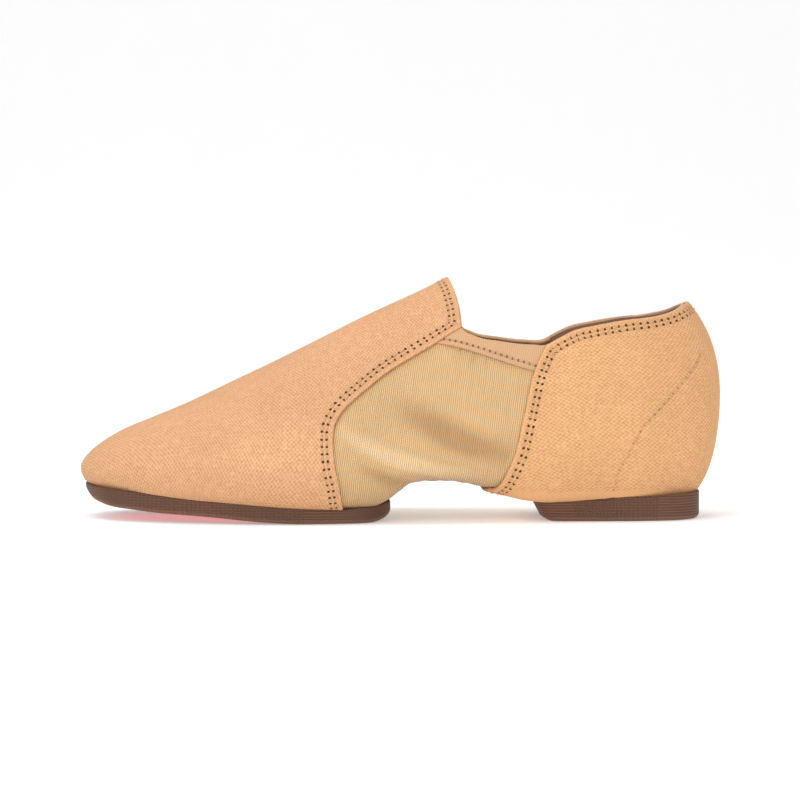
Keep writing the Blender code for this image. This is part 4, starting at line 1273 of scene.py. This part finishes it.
for distance, height, shift in HEEL_EDGE_ROWS:
    ring = slope_front(inset(outline, distance * 0.001), shift * HEEL_FRONT_SLOPE)
    rings.append(with_height(ring, 0.001 * height))
    wall.append(0.5)
for share in (0.0, 0.15, 0.4, 0.7, 1.0):
    ring = slope_front(outline, 0.75 * (1.0 - share) * HEEL_FRONT_SLOPE)
    wall_top = rim_height(ring[:, 0]) - LIP_DROP
    rings.append(with_height(ring, PAD_EDGE + (wall_top - PAD_EDGE) * share))
    wall.append(1.0)
top_rings = upper_rings(outline, spine)
rings += top_rings
wall += [1.0] + [0.0] * (len(top_rings) - 1)
gum_heel = ring_body("gum_heel", rings, wall)
dress(gum_heel, "outsole_heel")
print("faces of the heel pad:", len(gum_heel.data.polygons))

# %% [markdown]
# Every seam is sewn: two rows of stitches run along the edges of vamp and
# quarter, one along each band and one down the counter. A stitch lies on the
# finished surface, which a search tree finds from a point beside the edge. An
# array along a curve would float over the rim and sink into its furrows.

# %% Places of the stitches
PITCH = 0.0028
BAND_PITCH = 0.0023
ROWS = (0.0023, 0.0041)
STRAY = 0.0014


def surface_tree(thing):
    """Search tree of a finished piece, in shoe coordinates."""
    mesh = thing.data
    points = np.empty(len(mesh.vertices) * 3)
    mesh.vertices.foreach_get("co", points)
    points = points.reshape(-1, 3) - SHIFT
    corners = np.empty(len(mesh.loops), dtype=np.int64)
    mesh.loops.foreach_get("vertex_index", corners)
    starts = np.empty(len(mesh.polygons), dtype=np.int64)
    mesh.polygons.foreach_get("loop_start", starts)
    faces = [part.tolist() for part in np.split(corners, starts[1:])]
    return BVHTree.FromPolygons(points.tolist(), faces)


def seam_row(edge, tree, distance, pitch, lowest):
    """Centres, normals and directions of the stitches of one row beside an edge."""
    found, ahead, last = [], 4, len(edge.points) - 1
    for place in np.arange(0.5 * pitch, edge.length, pitch):
        k = min(int(place / EDGE_STEP), last)
        point = Vector(edge.points[k])
        along = Vector(edge.points[min(k + ahead, last)] - edge.points[max(k - ahead, 0)])
        along.normalize()
        _, normal, _, _ = skin_tree.find_nearest(point)
        best = None
        for sign in ((1, -1) if distance else (1,)):
            aim = point + normal.cross(along).normalized() * distance * sign + normal * 0.0005
            spot, up, _, gap = tree.find_nearest(aim)
            if best is None or gap < best[2]:
                best = (spot, up, gap)
        if best[2] > STRAY or best[0].z < lowest or best[1].dot(normal) < 0.6:
            continue
        _, _, far = edge.tree.find(best[0])
        if far > 0.86 * distance:
            found.append((best[0], best[1], along))
    return found


print("stitch pitch mm:", PITCH * 1000, "on canvas,", BAND_PITCH * 1000, "on the bands")

# %% [markdown]
# A stitch is a short capsule of thread that dips into the cloth at both ends,
# where the needle went through. All stitches of one seam are one mesh, because
# hundreds of small objects are slow. Painted stitches would vanish in side
# light.

# %% Thread
def thread(name, stitches, length, radius):
    """One mesh of short capsules lying along their directions."""
    spots, ups, alongs = (np.array([np.array(s[k]) for s in stitches]) for k in range(3))
    alongs -= ups * np.sum(alongs * ups, axis=1)[:, None]
    alongs /= np.linalg.norm(alongs, axis=1)[:, None]
    acrosses = np.cross(ups, alongs)
    places = np.array((-1.0, -0.86, -0.45, 0.0, 0.45, 0.86, 1.0)) * 0.5 * length
    widths = np.array((0.35, 0.8, 1.0, 1.0, 1.0, 0.8, 0.35)) * radius
    lifts = np.array((-0.75, -0.1, 0.42, 0.5, 0.42, -0.1, -0.75)) * radius
    turns = np.arange(7) * math.tau / 7
    rows, sides = len(places), len(turns)
    middle = spots[:, None] + alongs[:, None] * places[:, None] + ups[:, None] * lifts[:, None]
    ring = (acrosses[:, None, None] * np.cos(turns)[:, None]
            + ups[:, None, None] * np.sin(turns)[:, None]) * widths[:, None, None]
    points = (middle[:, :, None] + ring).reshape(-1, 3)
    faces = []
    for base in range(0, len(points), rows * sides):
        for low in range(base, base + (rows - 1) * sides, sides):
            faces += [(low + m, low + (m + 1) % sides, low + sides + (m + 1) % sides, low + sides + m)
                      for m in range(sides)]
        faces.append(tuple(range(base + sides - 1, base - 1, -1)))
        faces.append(tuple(range(base + (rows - 1) * sides, base + rows * sides)))
    one = np.stack(np.broadcast_arrays(places[:, None], turns[None]), axis=-1).reshape(-1, 2)
    return dress(new_object(name, points, faces, np.tile(one, (len(stitches), 1))))


vamp_tree, quarter_tree = surface_tree(canvas_vamp), surface_tree(canvas_quarter)
vamp_stitches = [s for row in ROWS
                 for s in seam_row(vamp_edge, vamp_tree, row, PITCH, 0.0068)]
quarter_stitches = [s for row in ROWS
                    for s in seam_row(quarter_edge, quarter_tree, row, PITCH, 0.0100)]
counter_stitches = [s for side in SIDES
                    for s in seam_row(counter_seam[side], quarter_tree, 0.0, PITCH, 0.0115)]
band_trees = {side: surface_tree(bands[side]) for side in SIDES}
band_stitches = [s for side in SIDES
                 for s in seam_row(band_edges[side], band_trees[side], BAND_ROW, BAND_PITCH, 0.0)
                 if under_canvas(np.array([s[0]]), side)[0] > 0.0008]
threads = [thread("thread_vamp", vamp_stitches, 0.0021, 0.00030),
           thread("thread_quarter", quarter_stitches, 0.0021, 0.00030),
           thread("thread_counter", counter_stitches, 0.0020, 0.00024),
           thread("thread_band", band_stitches, 0.0017, 0.00024)]
print("stitches:", len(vamp_stitches), len(quarter_stitches), len(counter_stitches),
      len(band_stitches))

# %% [markdown]
# Colours and fine texture come from small node groups that turn lengths on the
# cloth into heights and shades. Such trees can be wired by hand in the node
# editor; written as short calls they can be read, repeated and changed in one
# place. The shader itself stays in each material.

# %% Short way to write node trees
class Wires:
    """Adds nodes to one tree and links them."""

    def __init__(self, tree):
        self.tree = tree

    def put(self, kind, inputs=None, **settings):
        """Add a node, set its options and connect or fill its inputs."""
        node = self.tree.nodes.new(kind)
        for title, value in settings.items():
            setattr(node, title, value)
        for title, value in (inputs or {}).items():
            self.fill(node.inputs[title], value)
        return node

    def fill(self, socket, value):
        """Link a socket to another, or set its value."""
        if isinstance(value, bpy.types.NodeSocket):
            self.tree.links.new(value, socket)
        else:
            socket.default_value = value

    def math(self, operation, *values):
        """Result of one calculation."""
        node = self.put("ShaderNodeMath", operation=operation)
        for socket, value in zip(node.inputs, values):
            self.fill(socket, value)
        return node.outputs[0]

    def product(self, first, *others):
        """Product of two or more values."""
        for value in others:
            first = self.math("MULTIPLY", first, value)
        return first

    def scale(self, value, amount, base):
        """Base value plus an amount of another."""
        return self.math("MULTIPLY_ADD", value, amount, base)

    def swing(self, value, amount, base, middle=0.5):
        """Base value, moved by how far another lies from its middle."""
        return self.scale(self.math("SUBTRACT", value, middle), amount, base)

    def wave(self, value, period, operation="SINE"):
        """Wave along a length, with its period in metres."""
        return self.math(operation, self.math("MULTIPLY", value, math.tau / period))

    def diagonal(self, across, along):
        """Distance from two lengths at right angles."""
        squares = [self.math("MULTIPLY", part, part) for part in (across, along)]
        return self.math("SQRT", self.math("ADD", *squares))

    def ramp(self, value, low, high, start=0.0, end=1.0):
        """Smooth step of a value between two limits."""
        node = self.put("ShaderNodeMapRange", interpolation_type="SMOOTHSTEP")
        for title, number in (("Value", value), ("From Min", low), ("From Max", high),
                              ("To Min", start), ("To Max", end)):
            self.fill(node.inputs[title], number)
        return node.outputs["Result"]

    def blend(self, share, first, second, blend_type="MIX"):
        """Mix of two colours."""
        node = self.put("ShaderNodeMix", data_type="RGBA", blend_type=blend_type)
        self.fill(node.inputs["Factor"], share)
        for socket, value in zip([s for s in node.inputs if s.type == "RGBA"], (first, second)):
            self.fill(socket, value)
        return next(s for s in node.outputs if s.type == "RGBA")

    def tint(self, colour, amount):
        """Colour made darker by a value, where 1 leaves it as it is."""
        return self.blend(1.0, colour, self.join(amount, amount, amount), "MULTIPLY")

    def noise(self, vector, scale, detail=3.0, rough=0.55):
        """Cloudy value between 0 and 1."""
        return self.put("ShaderNodeTexNoise", {"Vector": vector, "Scale": scale, "Detail": detail,
                                               "Roughness": rough}).outputs[0]

    def streaks(self, u, v, across, along, detail):
        """Cloudy value drawn out along one of two lengths."""
        place = self.join(self.math("MULTIPLY", u, across), self.math("MULTIPLY", v, along))
        return self.noise(place, 1.0, detail)

    def field(self, title):
        """Point value stored on the mesh."""
        return self.put("ShaderNodeAttribute", attribute_name=title).outputs["Fac"]

    def lengths(self):
        """The two lengths along the cloth."""
        return self.put("ShaderNodeUVMap", uv_map="lengths").outputs[0]

    def split(self, vector):
        """The parts of a vector."""
        return self.put("ShaderNodeSeparateXYZ", {"Vector": vector}).outputs

    def join(self, x, y, z=0.0):
        """A vector from its parts."""
        node = self.put("ShaderNodeCombineXYZ")
        for socket, value in zip(node.inputs, (x, y, z)):
            self.fill(socket, value)
        return node.outputs[0]


NUMBER, VECTOR = "NodeSocketFloat", "NodeSocketVector"


def group(name, build, numbers, **inputs):
    """Shader node group whose parts are written by a function and whose outputs are numbers."""
    made = bpy.data.node_groups.new(name, "ShaderNodeTree")
    for title, kind in inputs.items():
        made.interface.new_socket(title, in_out="INPUT", socket_type=kind)
    for title in numbers:
        made.interface.new_socket(title, in_out="OUTPUT", socket_type=NUMBER)
    wires = Wires(made)
    start, end = wires.put("NodeGroupInput"), wires.put("NodeGroupOutput")
    results = build(wires, {title: start.outputs[title] for title in inputs})
    for title, value in results.items():
        wires.fill(end.inputs[title], value)
    return made


print("node helpers ready")

# %% [markdown]
# Canvas is a plain weave of thick yarn: seen close, rows of raised dots that
# wander a little, with thick and thin places along every yarn and short fibres
# on top. The product of two waves gives the dots, and the low side is cut off,
# so that they stand on a lower net. Shade is dark where the weave is low, so
# the canvas that takes it into its colour gets painted shade in the hollows.
# Woven threads as real shape would take millions of faces for the same look.

# %% Weave of the canvas
WEAVE_PERIOD = 0.00140
WEAVE_WANDER = (0.0009, -0.00063)
NET_LEVEL = -0.25


def build_weave(wires, given):
    """Raised dots of a plain weave."""
    drift = wires.noise(given["Lengths"], 90.0, 2.0)
    flat = wires.split(given["Lengths"])
    u, v = (wires.swing(drift, amount, flat[k]) for k, amount in enumerate(WEAVE_WANDER))
    dots = wires.product(wires.wave(u, WEAVE_PERIOD), wires.wave(v, WEAVE_PERIOD))
    dots = wires.math("MAXIMUM", dots, NET_LEVEL)
    yarn = wires.math("ADD", wires.streaks(u, v, 240.0, 1450.0, 2.0),
                      wires.streaks(u, v, 1450.0, 240.0, 2.0))
    fibre = wires.noise(given["Lengths"], 5200.0, 2.0, 0.7)
    height = wires.scale(dots, 0.62, 0.5)
    height = wires.swing(yarn, 0.60, height, middle=1.0)
    height = wires.swing(fibre, 0.30, height)
    return {"Height": height, "Shade": wires.ramp(height, 0.25, 0.78)}


weave = group("plain_weave", build_weave, ("Height", "Shade"), Lengths=VECTOR)
print("canvas dots every", WEAVE_PERIOD * 1000, "mm")

# %% [markdown]
# The gusset is stretch satin, much finer, with broken ribs that lean a little.
# One wave across the cloth gives the ribs, noise drawn out along them breaks
# them up, and slow noise bends them. The folded bands use the same group.

# %% Ribs of the satin
SATIN_RIB = 0.00081
SATIN_CROSS = 0.0011
SATIN_LEAN = 0.13


def build_satin(wires, given):
    """Broken upright ribs of stretch satin."""
    u, v, _ = wires.split(given["Lengths"])
    u = wires.swing(wires.noise(given["Lengths"], 70.0, 2.0), 0.0012, u)
    u = wires.scale(v, SATIN_LEAN, u)
    streak = wires.streaks(u, v, 1500.0, 90.0, 3.0)
    height = wires.scale(wires.wave(u, SATIN_RIB), 0.36, 0.5)
    height = wires.scale(wires.wave(v, SATIN_CROSS, "COSINE"), -0.07, height)
    height = wires.swing(streak, 0.4, height)
    # Shade is dark between the ribs: painted shade where the materials use it as colour.
    return {"Height": height, "Shade": wires.ramp(height, 0.1, 0.9), "Streak": streak}


satin = group("ribbed_satin", build_satin, ("Height", "Shade", "Streak"), Lengths=VECTOR)
print("satin ribs every", SATIN_RIB * 1000, "mm")

# %% [markdown]
# The mould leaves small squares on the wall of the gum pads, a fine knurl on
# the tread and one plain raised ring behind the insert. They are far too
# shallow to need faces, so waves in two directions make them as a height. The
# value stored on the mesh says what is wall and what is tread.

# %% Pattern of the moulded rubber
SQUARE_WIDTH, SQUARE_HEIGHT = 0.00115, 0.00105
KNURL_PERIOD = 0.0015
RING_AT = np.array((0.0977, -0.0299)) + SHIFT[:2]
RING_RADIUS = 0.0060


def build_rubber(wires, given):
    """Small squares on the wall, a knurl on the tread and a plain raised ring."""
    u, _, _ = wires.split(given["Lengths"])
    x, y, z = wires.split(given["Place"])
    squares = wires.math("MINIMUM", wires.wave(u, SQUARE_WIDTH), wires.wave(z, SQUARE_HEIGHT))
    knurl = wires.product(*(wires.wave(wires.math(operation, x, y), KNURL_PERIOD)
                            for operation in ("ADD", "SUBTRACT")))
    grain = wires.noise(given["Place"], 1400.0, 3.0, 0.6)
    far = wires.diagonal(wires.math("SUBTRACT", x, RING_AT[0]),
                         wires.math("SUBTRACT", y, RING_AT[1]))
    from_ring = wires.math("ABSOLUTE", wires.math("SUBTRACT", far, RING_RADIUS))
    ring = wires.ramp(from_ring, 0.0006, 0.0002)
    under = wires.math("SUBTRACT", 1.0, given["Wall"])
    side = wires.product(squares, given["Wall"], 0.7)
    tread = wires.product(knurl, under, wires.ramp(far, 0.0064, 0.0070))
    pattern = wires.scale(tread, 0.8, side)
    height = wires.scale(grain, 0.6, pattern)
    height = wires.scale(wires.product(ring, under), 2.5, height)
    # Pattern is low in the lines between the squares and in the knurl's hollows; the gum takes it
    # into its colour as painted shade.
    return {"Height": height, "Grain": grain, "Pattern": pattern}


rubber = group("moulded_rubber", build_rubber, ("Height", "Grain", "Pattern"),
               Lengths=VECTOR, Place=VECTOR, Wall=NUMBER)
print("squares", SQUARE_WIDTH * 1000, "by", SQUARE_HEIGHT * 1000, "mm")

# %% [markdown]
# A needle pulls a hole wherever a stitch dips into the cloth, and the mask
# paints it dark, as painted shade. The group repeats a round spot along the
# edge with the pitch of the stitches, so every hole lies between two of them.
# Holes cut in the mesh would need very small faces. The second group is slow
# unevenness of dye with a few specks, for all pieces.

# %% Needle holes and wear
def build_holes(wires, given):
    """Mask of needle holes in one row beside an edge."""
    half = wires.math("MULTIPLY", given["Pitch"], 0.5)
    along = wires.math("MODULO", wires.math("ADD", given["Run"], half), given["Pitch"])
    along = wires.math("SUBTRACT", along, half)
    reach = wires.diagonal(along, wires.math("SUBTRACT", given["Far"], given["Row"]))
    return {"Mask": wires.ramp(reach, 0.00060, 0.00038)}


def build_wear(wires, given):
    """Slow unevenness of dye and light soiling, the same in place on every piece."""
    cloud = wires.noise(given["Place"], 28.0, 4.0, 0.55)
    specks = wires.noise(given["Place"], 330.0, 3.0, 0.7)
    return {"Cloud": wires.ramp(cloud, 0.3, 0.7), "Specks": wires.ramp(specks, 0.62, 0.78)}


holes = group("needle_holes", build_holes, ("Mask",),
              Far=NUMBER, Run=NUMBER, Row=NUMBER, Pitch=NUMBER)
wear = group("wear", build_wear, ("Cloud", "Specks"), Place=VECTOR)
print("groups:", [made.name for made in bpy.data.node_groups])

# %% [markdown]
# A coat is one material while it is being written: its wires, its shader and
# the place of each point in the frame. Numbers that are the same all over are
# set on the shader's own sockets, and only what changes from point to point is
# linked.

# %% Helper for materials
class Coat(Wires):
    """New material with its shader and its place in the frame."""

    def __init__(self, name, colour):
        self.made = bpy.data.materials.new(name)
        self.made.use_nodes = True
        self.made.diffuse_color = (*colour, 1.0)
        super().__init__(self.made.node_tree)
        self.shader = self.tree.nodes["Principled BSDF"]
        self.place = self.put("ShaderNodeTexCoord").outputs["Object"]

    def use(self, tree, **inputs):
        """Outputs of a group put into the material."""
        return self.put("ShaderNodeGroup", inputs, node_tree=tree).outputs

    def bump(self, height, distance):
        """Give the shader a height."""
        node = self.put("ShaderNodeBump", {"Strength": 1.0, "Distance": distance, "Height": height})
        self.fill(self.shader.inputs["Normal"], node.outputs[0])

    def finish(self, colour, rough, **others):
        """Set or link the shader's sockets, and return the material."""
        titles = {title.replace("_", " "): value for title, value in others.items()}
        for title, value in {"Base Color": colour, "Roughness": rough, **titles}.items():
            self.fill(self.shader.inputs[title], value)
        return self.made


def rgb(r, g, b):
    """Colour with full alpha."""
    return (r, g, b, 1.0)


print("coat helper ready")

# %% [markdown]
# Cotton canvas is matt, with a little sheen. Its dots are light and the net
# between them darker, painted shade in the hollows of the weave. Towards the
# sole and along the folded edge the weave is pressed flat, and towards the sole
# the canvas is also painted a little darker, as painted shade. Needle holes
# follow the rows of thread. Both covers share this function, because they are
# cut from one cloth but laid differently.

# %% Canvas
HOLE_SHADE_COLOUR = rgb(0.060, 0.018, 0.005)
EDGE_COLOUR = rgb(0.62, 0.36, 0.17)


def canvas_material(name, colour, gap_shade_colour, stretch, turn, seam):
    """Canvas with needle holes beside its edges and a smooth strip above the sole."""
    coat = Coat(name, colour)
    laid = coat.put("ShaderNodeMapping", {"Vector": coat.lengths(), "Scale": (*stretch, 1.0),
                                          "Rotation": (0.0, 0.0, math.radians(turn))}).outputs[0]
    cloth = coat.use(weave, Lengths=laid)
    worn = coat.use(wear, Place=coat.place)
    far, run, above = (coat.field(title) for title in ("edge_far", "edge_run", "above_sole"))
    pits = 0.0
    for row in ROWS:
        one = coat.use(holes, Far=far, Run=run, Row=row, Pitch=PITCH)["Mask"]
        pits = coat.math("MAXIMUM", pits, one)
    if seam:
        one = coat.use(holes, Far=coat.field("seam_far"), Run=coat.field("seam_run"),
                       Row=0.0, Pitch=PITCH)["Mask"]
        pits = coat.math("MAXIMUM", pits, coat.product(one, 0.45))
    raised = coat.product(coat.ramp(above, 0.0012, 0.0028, 0.35, 1.0),
                          coat.ramp(far, 0.0002, 0.0011, 0.45, 1.0))
    top = coat.swing(cloth["Shade"], raised, 0.70)
    # Painted shade: the canvas is a tenth darker towards the sole. The cloud is uneven dye and the
    # specks are soiling.
    shade = coat.product(coat.scale(worn["Cloud"], 0.09, 0.94),
                         coat.ramp(above, 0.0, 0.024, 0.90, 1.0),
                         coat.scale(worn["Specks"], -0.05, 1.0))
    # The net between the dots gets the darker colour, as painted shade; the needle holes are painted
    # dark, as painted shade too.
    skin = coat.tint(coat.blend(top, rgb(*gap_shade_colour), rgb(*colour)), shade)
    skin = coat.blend(coat.product(pits, 0.96), skin, HOLE_SHADE_COLOUR)
    skin = coat.blend(coat.ramp(far, 0.0005, 0.0, 0.0, 0.35), skin, EDGE_COLOUR)
    coat.bump(coat.scale(pits, -1.2, coat.product(cloth["Height"], raised)), 0.00036)
    return coat.finish(skin, 0.9, Specular_IOR_Level=0.14, Sheen_Weight=0.05,
                       Sheen_Roughness=0.6, Sheen_Tint=rgb(1.0, 0.80, 0.62))


vamp_coat = canvas_material("canvas", (0.880, 0.505, 0.278), (0.62, 0.295, 0.125),
                            (1.01, 0.69), -15.0, False)
quarter_coat = canvas_material("canvas_quarter", (0.885, 0.508, 0.256), (0.64, 0.305, 0.120),
                               (0.64, 0.93), 9.0, True)
print("canvas nodes:", len(vamp_coat.node_tree.nodes), len(quarter_coat.node_tree.nodes))

# %% [markdown]
# The shell is one mesh with three looks: satin in the gusset, knit behind the
# bands and brushed lining elsewhere. Material slots would need a cut along
# each border, so values on the points choose the look instead. The satin's
# colour holds painted light: a painted highlight on the ridges of its folds,
# painted shade in their troughs and between its ribs, and painted shade that
# grows towards the bottom, so the floor under the arch is the darkest place.

# %% Satin and lining of the shell
def satin_material():
    """Satin in the gusset, lining inside, band colour behind the bands."""
    coat = Coat("stretch_satin", (0.66, 0.45, 0.22))
    cloth = coat.use(satin, Lengths=coat.lengths())
    worn = coat.use(wear, Place=coat.place)
    zone, depth = coat.field("zone"), coat.field("fold")
    outside = coat.product(coat.ramp(zone, 0.995, 1.0), coat.ramp(zone, 2.005, 2.0),
                           coat.math("LESS_THAN", coat.field("inside"), 0.5))
    # Painted shade: dark between the ribs, and darker towards the bottom of the shell. The cloud is
    # uneven dye.
    shade = coat.product(coat.swing(cloth["Shade"], 0.52, 0.99),
                         coat.ramp(coat.field("level"), -0.95, 0.40, 0.80, 1.0),
                         coat.scale(worn["Cloud"], 0.08, 0.95))
    # Painted highlight on the folds' ridges and painted shade in their troughs.
    face = coat.blend(coat.ramp(depth, 0.2, 1.1), rgb(0.68, 0.435, 0.205), rgb(0.80, 0.555, 0.300))
    face = coat.blend(coat.ramp(depth, 0.1, -1.6), face, rgb(0.50, 0.285, 0.120))
    face = coat.tint(face, shade)
    seam = coat.ramp(coat.field("middle_far"), 0.0006, 0.0002, 0.0, 0.7)
    face = coat.blend(seam, face, rgb(0.28, 0.16, 0.06))
    lining = coat.tint(rgb(0.49, 0.285, 0.185), coat.scale(worn["Specks"], -0.1, 1.0))
    lining = coat.blend(coat.field("under_band"), lining, rgb(0.62, 0.40, 0.24))
    lining = coat.blend(coat.ramp(coat.field("collar_edge"), 0.15, 0.5), lining,
                        rgb(0.80, 0.50, 0.36))
    coat.bump(cloth["Height"], 0.00020)
    return coat.finish(coat.blend(outside, lining, face), coat.scale(cloth["Streak"], -0.20, 0.62),
                       Specular_IOR_Level=0.45, Sheen_Weight=0.10, Anisotropic=0.3)


satin_coat = satin_material()
print("satin nodes:", len(satin_coat.node_tree.nodes))

# %% [markdown]
# The binding is the satin's cloth folded close, so its ribs hardly show, and it
# is a little redder and duller. It has a row of needle holes of its own.

# %% Stretch binding
def band_material():
    """Folded stretch band, close knit, with a row of needle holes."""
    coat = Coat("stretch_band", (0.67, 0.40, 0.22))
    cloth = coat.use(satin, Lengths=coat.lengths())
    worn = coat.use(wear, Place=coat.place)
    pits = coat.use(holes, Far=coat.field("edge_far"), Run=coat.field("edge_run"),
                    Row=BAND_ROW, Pitch=BAND_PITCH)["Mask"]
    # Painted shade between the ribs, faint on the folded band; the cloud is uneven dye.
    shade = coat.product(coat.swing(cloth["Shade"], 0.16, 0.98),
                         coat.scale(worn["Cloud"], 0.06, 0.96))
    colour = coat.tint(rgb(0.68, 0.40, 0.22), shade)
    # The needle holes are painted dark, as painted shade.
    colour = coat.blend(coat.product(pits, 0.8), colour, rgb(0.14, 0.05, 0.02))
    coat.bump(coat.scale(pits, -2.0, cloth["Height"]), 0.00012)
    return coat.finish(colour, 0.72, Specular_IOR_Level=0.3)


band_coat = band_material()
print("binding nodes:", len(band_coat.node_tree.nodes))

# %% [markdown]
# Gum rubber is brown and matt. Its wall is darker than its tread and dusty just
# above the floor. The insert is a smoother red rubber. Both get an uneven
# roughness, since an even one looks like paint.

# %% Gum and red rubber
WALL_COLOUR = (0.150, 0.069, 0.040)
TREAD_COLOUR = (0.27, 0.125, 0.075)
DUST_COLOUR = (0.125, 0.080, 0.055)
RED = (0.90, 0.055, 0.07)


def gum_material():
    """Moulded gum rubber, dusty near the floor."""
    coat = Coat("gum_rubber", WALL_COLOUR)
    wall = coat.field("wall")
    part = coat.use(rubber, Lengths=coat.lengths(), Place=coat.place, Wall=wall)
    worn = coat.use(wear, Place=coat.place)
    dust = coat.ramp(coat.split(coat.place)[2], 0.0004, 0.0040, 0.55, 0.0)
    side = coat.blend(dust, rgb(*WALL_COLOUR), rgb(*DUST_COLOUR))
    # Painted shade: the lines between the squares and the knurl's hollows are darker. Grain and cloud
    # are uneven tone.
    shade = coat.scale(part["Pattern"], 0.38, coat.scale(part["Grain"], 0.30, 0.86))
    shade = coat.product(shade, coat.scale(worn["Cloud"], 0.16, 0.90))
    coat.bump(part["Height"], 0.00022)
    return coat.finish(coat.tint(coat.blend(wall, rgb(*TREAD_COLOUR), side), shade),
                       coat.scale(part["Grain"], 0.25, 0.50), Specular_IOR_Level=0.35)


def red_material():
    """Smooth red rubber."""
    coat = Coat("red_rubber", RED)
    grain = coat.noise(coat.place, 900.0, 3.0, 0.6)
    coat.bump(grain, 0.00005)
    return coat.finish(coat.tint(rgb(*RED), coat.scale(grain, 0.12, 0.93)),
                       coat.scale(grain, 0.15, 0.35), Specular_IOR_Level=0.35)


gum_coat, red_coat = gum_material(), red_material()
print("gum nodes:", len(gum_coat.node_tree.nodes))

# %% [markdown]
# Sewing thread is twisted, which shows as slanted stripes of light and shade,
# so its wave runs along the stitch and round it at once. The sock lining is
# brushed cotton, all nap and no gloss.

# %% Thread and sock lining
TWIST = 9000.0


def thread_material(name, colour):
    """Twisted sewing thread."""
    coat = Coat(name, colour)
    u, turn, _ = coat.split(coat.lengths())
    twist = coat.math("SINE", coat.scale(u, TWIST, turn))
    coat.bump(twist, 0.00005)
    # The twist's stripes of light and shade are also painted into the colour.
    return coat.finish(coat.tint(rgb(*colour), coat.scale(twist, 0.14, 0.9)), 0.6)


def lining_material(name, colour):
    """Brushed lining cloth."""
    coat = Coat(name, colour)
    nap = coat.noise(coat.place, 1500.0, 3.0, 0.7)
    coat.bump(nap, 0.00010)
    return coat.finish(coat.tint(rgb(*colour), coat.scale(nap, 0.3, 0.83)), 0.95)


thread_coat = thread_material("sewing_thread", (0.74, 0.44, 0.22))
sock_coat = lining_material("insole_cloth", (0.42, 0.26, 0.17))
coated = [(canvas_vamp, vamp_coat), (canvas_quarter, quarter_coat), (stretch_upper, satin_coat),
          (sock_lining, sock_coat), (gum_forefoot, gum_coat), (gum_heel, gum_coat),
          (red_insert, red_coat)]
coated += [(bands[side], band_coat) for side in SIDES] + [(thing, thread_coat) for thing in threads]
for thing, coat in coated:
    thing.data.materials.append(coat)
print("pieces with a material:", len(coated))

# %% [markdown]
# The photograph is a cut-out on white. A white sheet that lies as the floor and
# rises in a curve behind the shoe leaves no line at the horizon, which a plane
# and a wall would. A little emission keeps it white where the shoe stands.

# %% Floor
def backdrop():
    """Floor that curves up into a wall behind the shoe."""
    turns = np.linspace(0.0, 0.5 * math.pi, 24)
    curve = [(0.9 + math.sin(turn), 1.0 - math.cos(turn)) for turn in turns]
    profile = [(-6.0, 0.0)] + curve + [(1.9, 4.0)]
    verts = [(x, y, z - 0.0001) for y, z in profile for x in (-6.0, 6.0)]
    faces = [(2 * k, 2 * k + 1, 2 * k + 3, 2 * k + 2) for k in range(len(profile) - 1)]
    mesh = bpy.data.meshes.new("backdrop")
    mesh.from_pydata(verts, [], faces)
    mesh.shade_smooth()
    thing = bpy.data.objects.new("backdrop", mesh)
    bpy.context.scene.collection.objects.link(thing)
    coat = Coat("backdrop_paper", (0.9, 0.9, 0.9))
    paper = coat.noise(coat.place, 40.0, 2.0)
    colour = coat.tint(rgb(0.90, 0.90, 0.90), coat.scale(paper, 0.02, 0.98))
    mesh.materials.append(coat.finish(colour, 0.75, Emission_Color=rgb(1.0, 1.0, 1.0),
                                      Emission_Strength=0.30))


backdrop()
print("materials:", len(bpy.data.materials))

# %% [markdown]
# The light is very soft, brightest from above and from the toe's side. Three
# large square lamps and a bright surround give that. A single sun would draw
# hard shadows into the folds.

# %% Light
def soft_box(name, place, size, watts):
    """Square lamp that points at the shoe."""
    light = bpy.data.lights.new(name, "AREA")
    light.energy = watts
    light.size = size
    lamp = bpy.data.objects.new(name, light)
    lamp.location = place
    aim = Vector((0.0, 0.0, 0.04)) - lamp.location
    lamp.rotation_euler = aim.to_track_quat("-Z", "Y").to_euler()
    bpy.context.scene.collection.objects.link(lamp)


soft_box("overhead", (-0.25, -0.15, 1.3), 1.0, 8.0)
soft_box("front_left", (-0.9, -1.2, 0.8), 0.8, 7.4)
soft_box("front_right", (0.8, -1.3, 0.5), 0.8, 5.0)
world = bpy.data.worlds.new("studio")
world.use_nodes = True
background = world.node_tree.nodes["Background"]
background.inputs["Color"].default_value = rgb(1.0, 1.0, 1.0)
background.inputs["Strength"].default_value = 0.42
bpy.context.scene.world = world
bpy.context.scene.view_settings.view_transform = "Standard"
print("lights:", len(bpy.data.lights))

# %% [markdown]
# The camera looks at the lateral side from far off and slightly above, as in
# the photograph, with the one shoe in the middle of the picture. A long lens
# keeps the far side of the collar from opening up too much.

# %% Camera
DISTANCE = 1.40
TILT = math.radians(3.0)
TARGET = Vector((0.0, 0.0, 0.0445))
camera = bpy.data.cameras.new("camera")
camera.sensor_width = 36.0
camera.lens = 165.0
view = bpy.data.objects.new("camera", camera)
view.location = TARGET + Vector((0.0, -DISTANCE * math.cos(TILT), DISTANCE * math.sin(TILT)))
view.rotation_euler = (0.5 * math.pi - TILT, 0.0, 0.0)
bpy.context.scene.collection.objects.link(view)
bpy.context.scene.camera = view
print("camera height mm:", round(view.location.z * 1000))
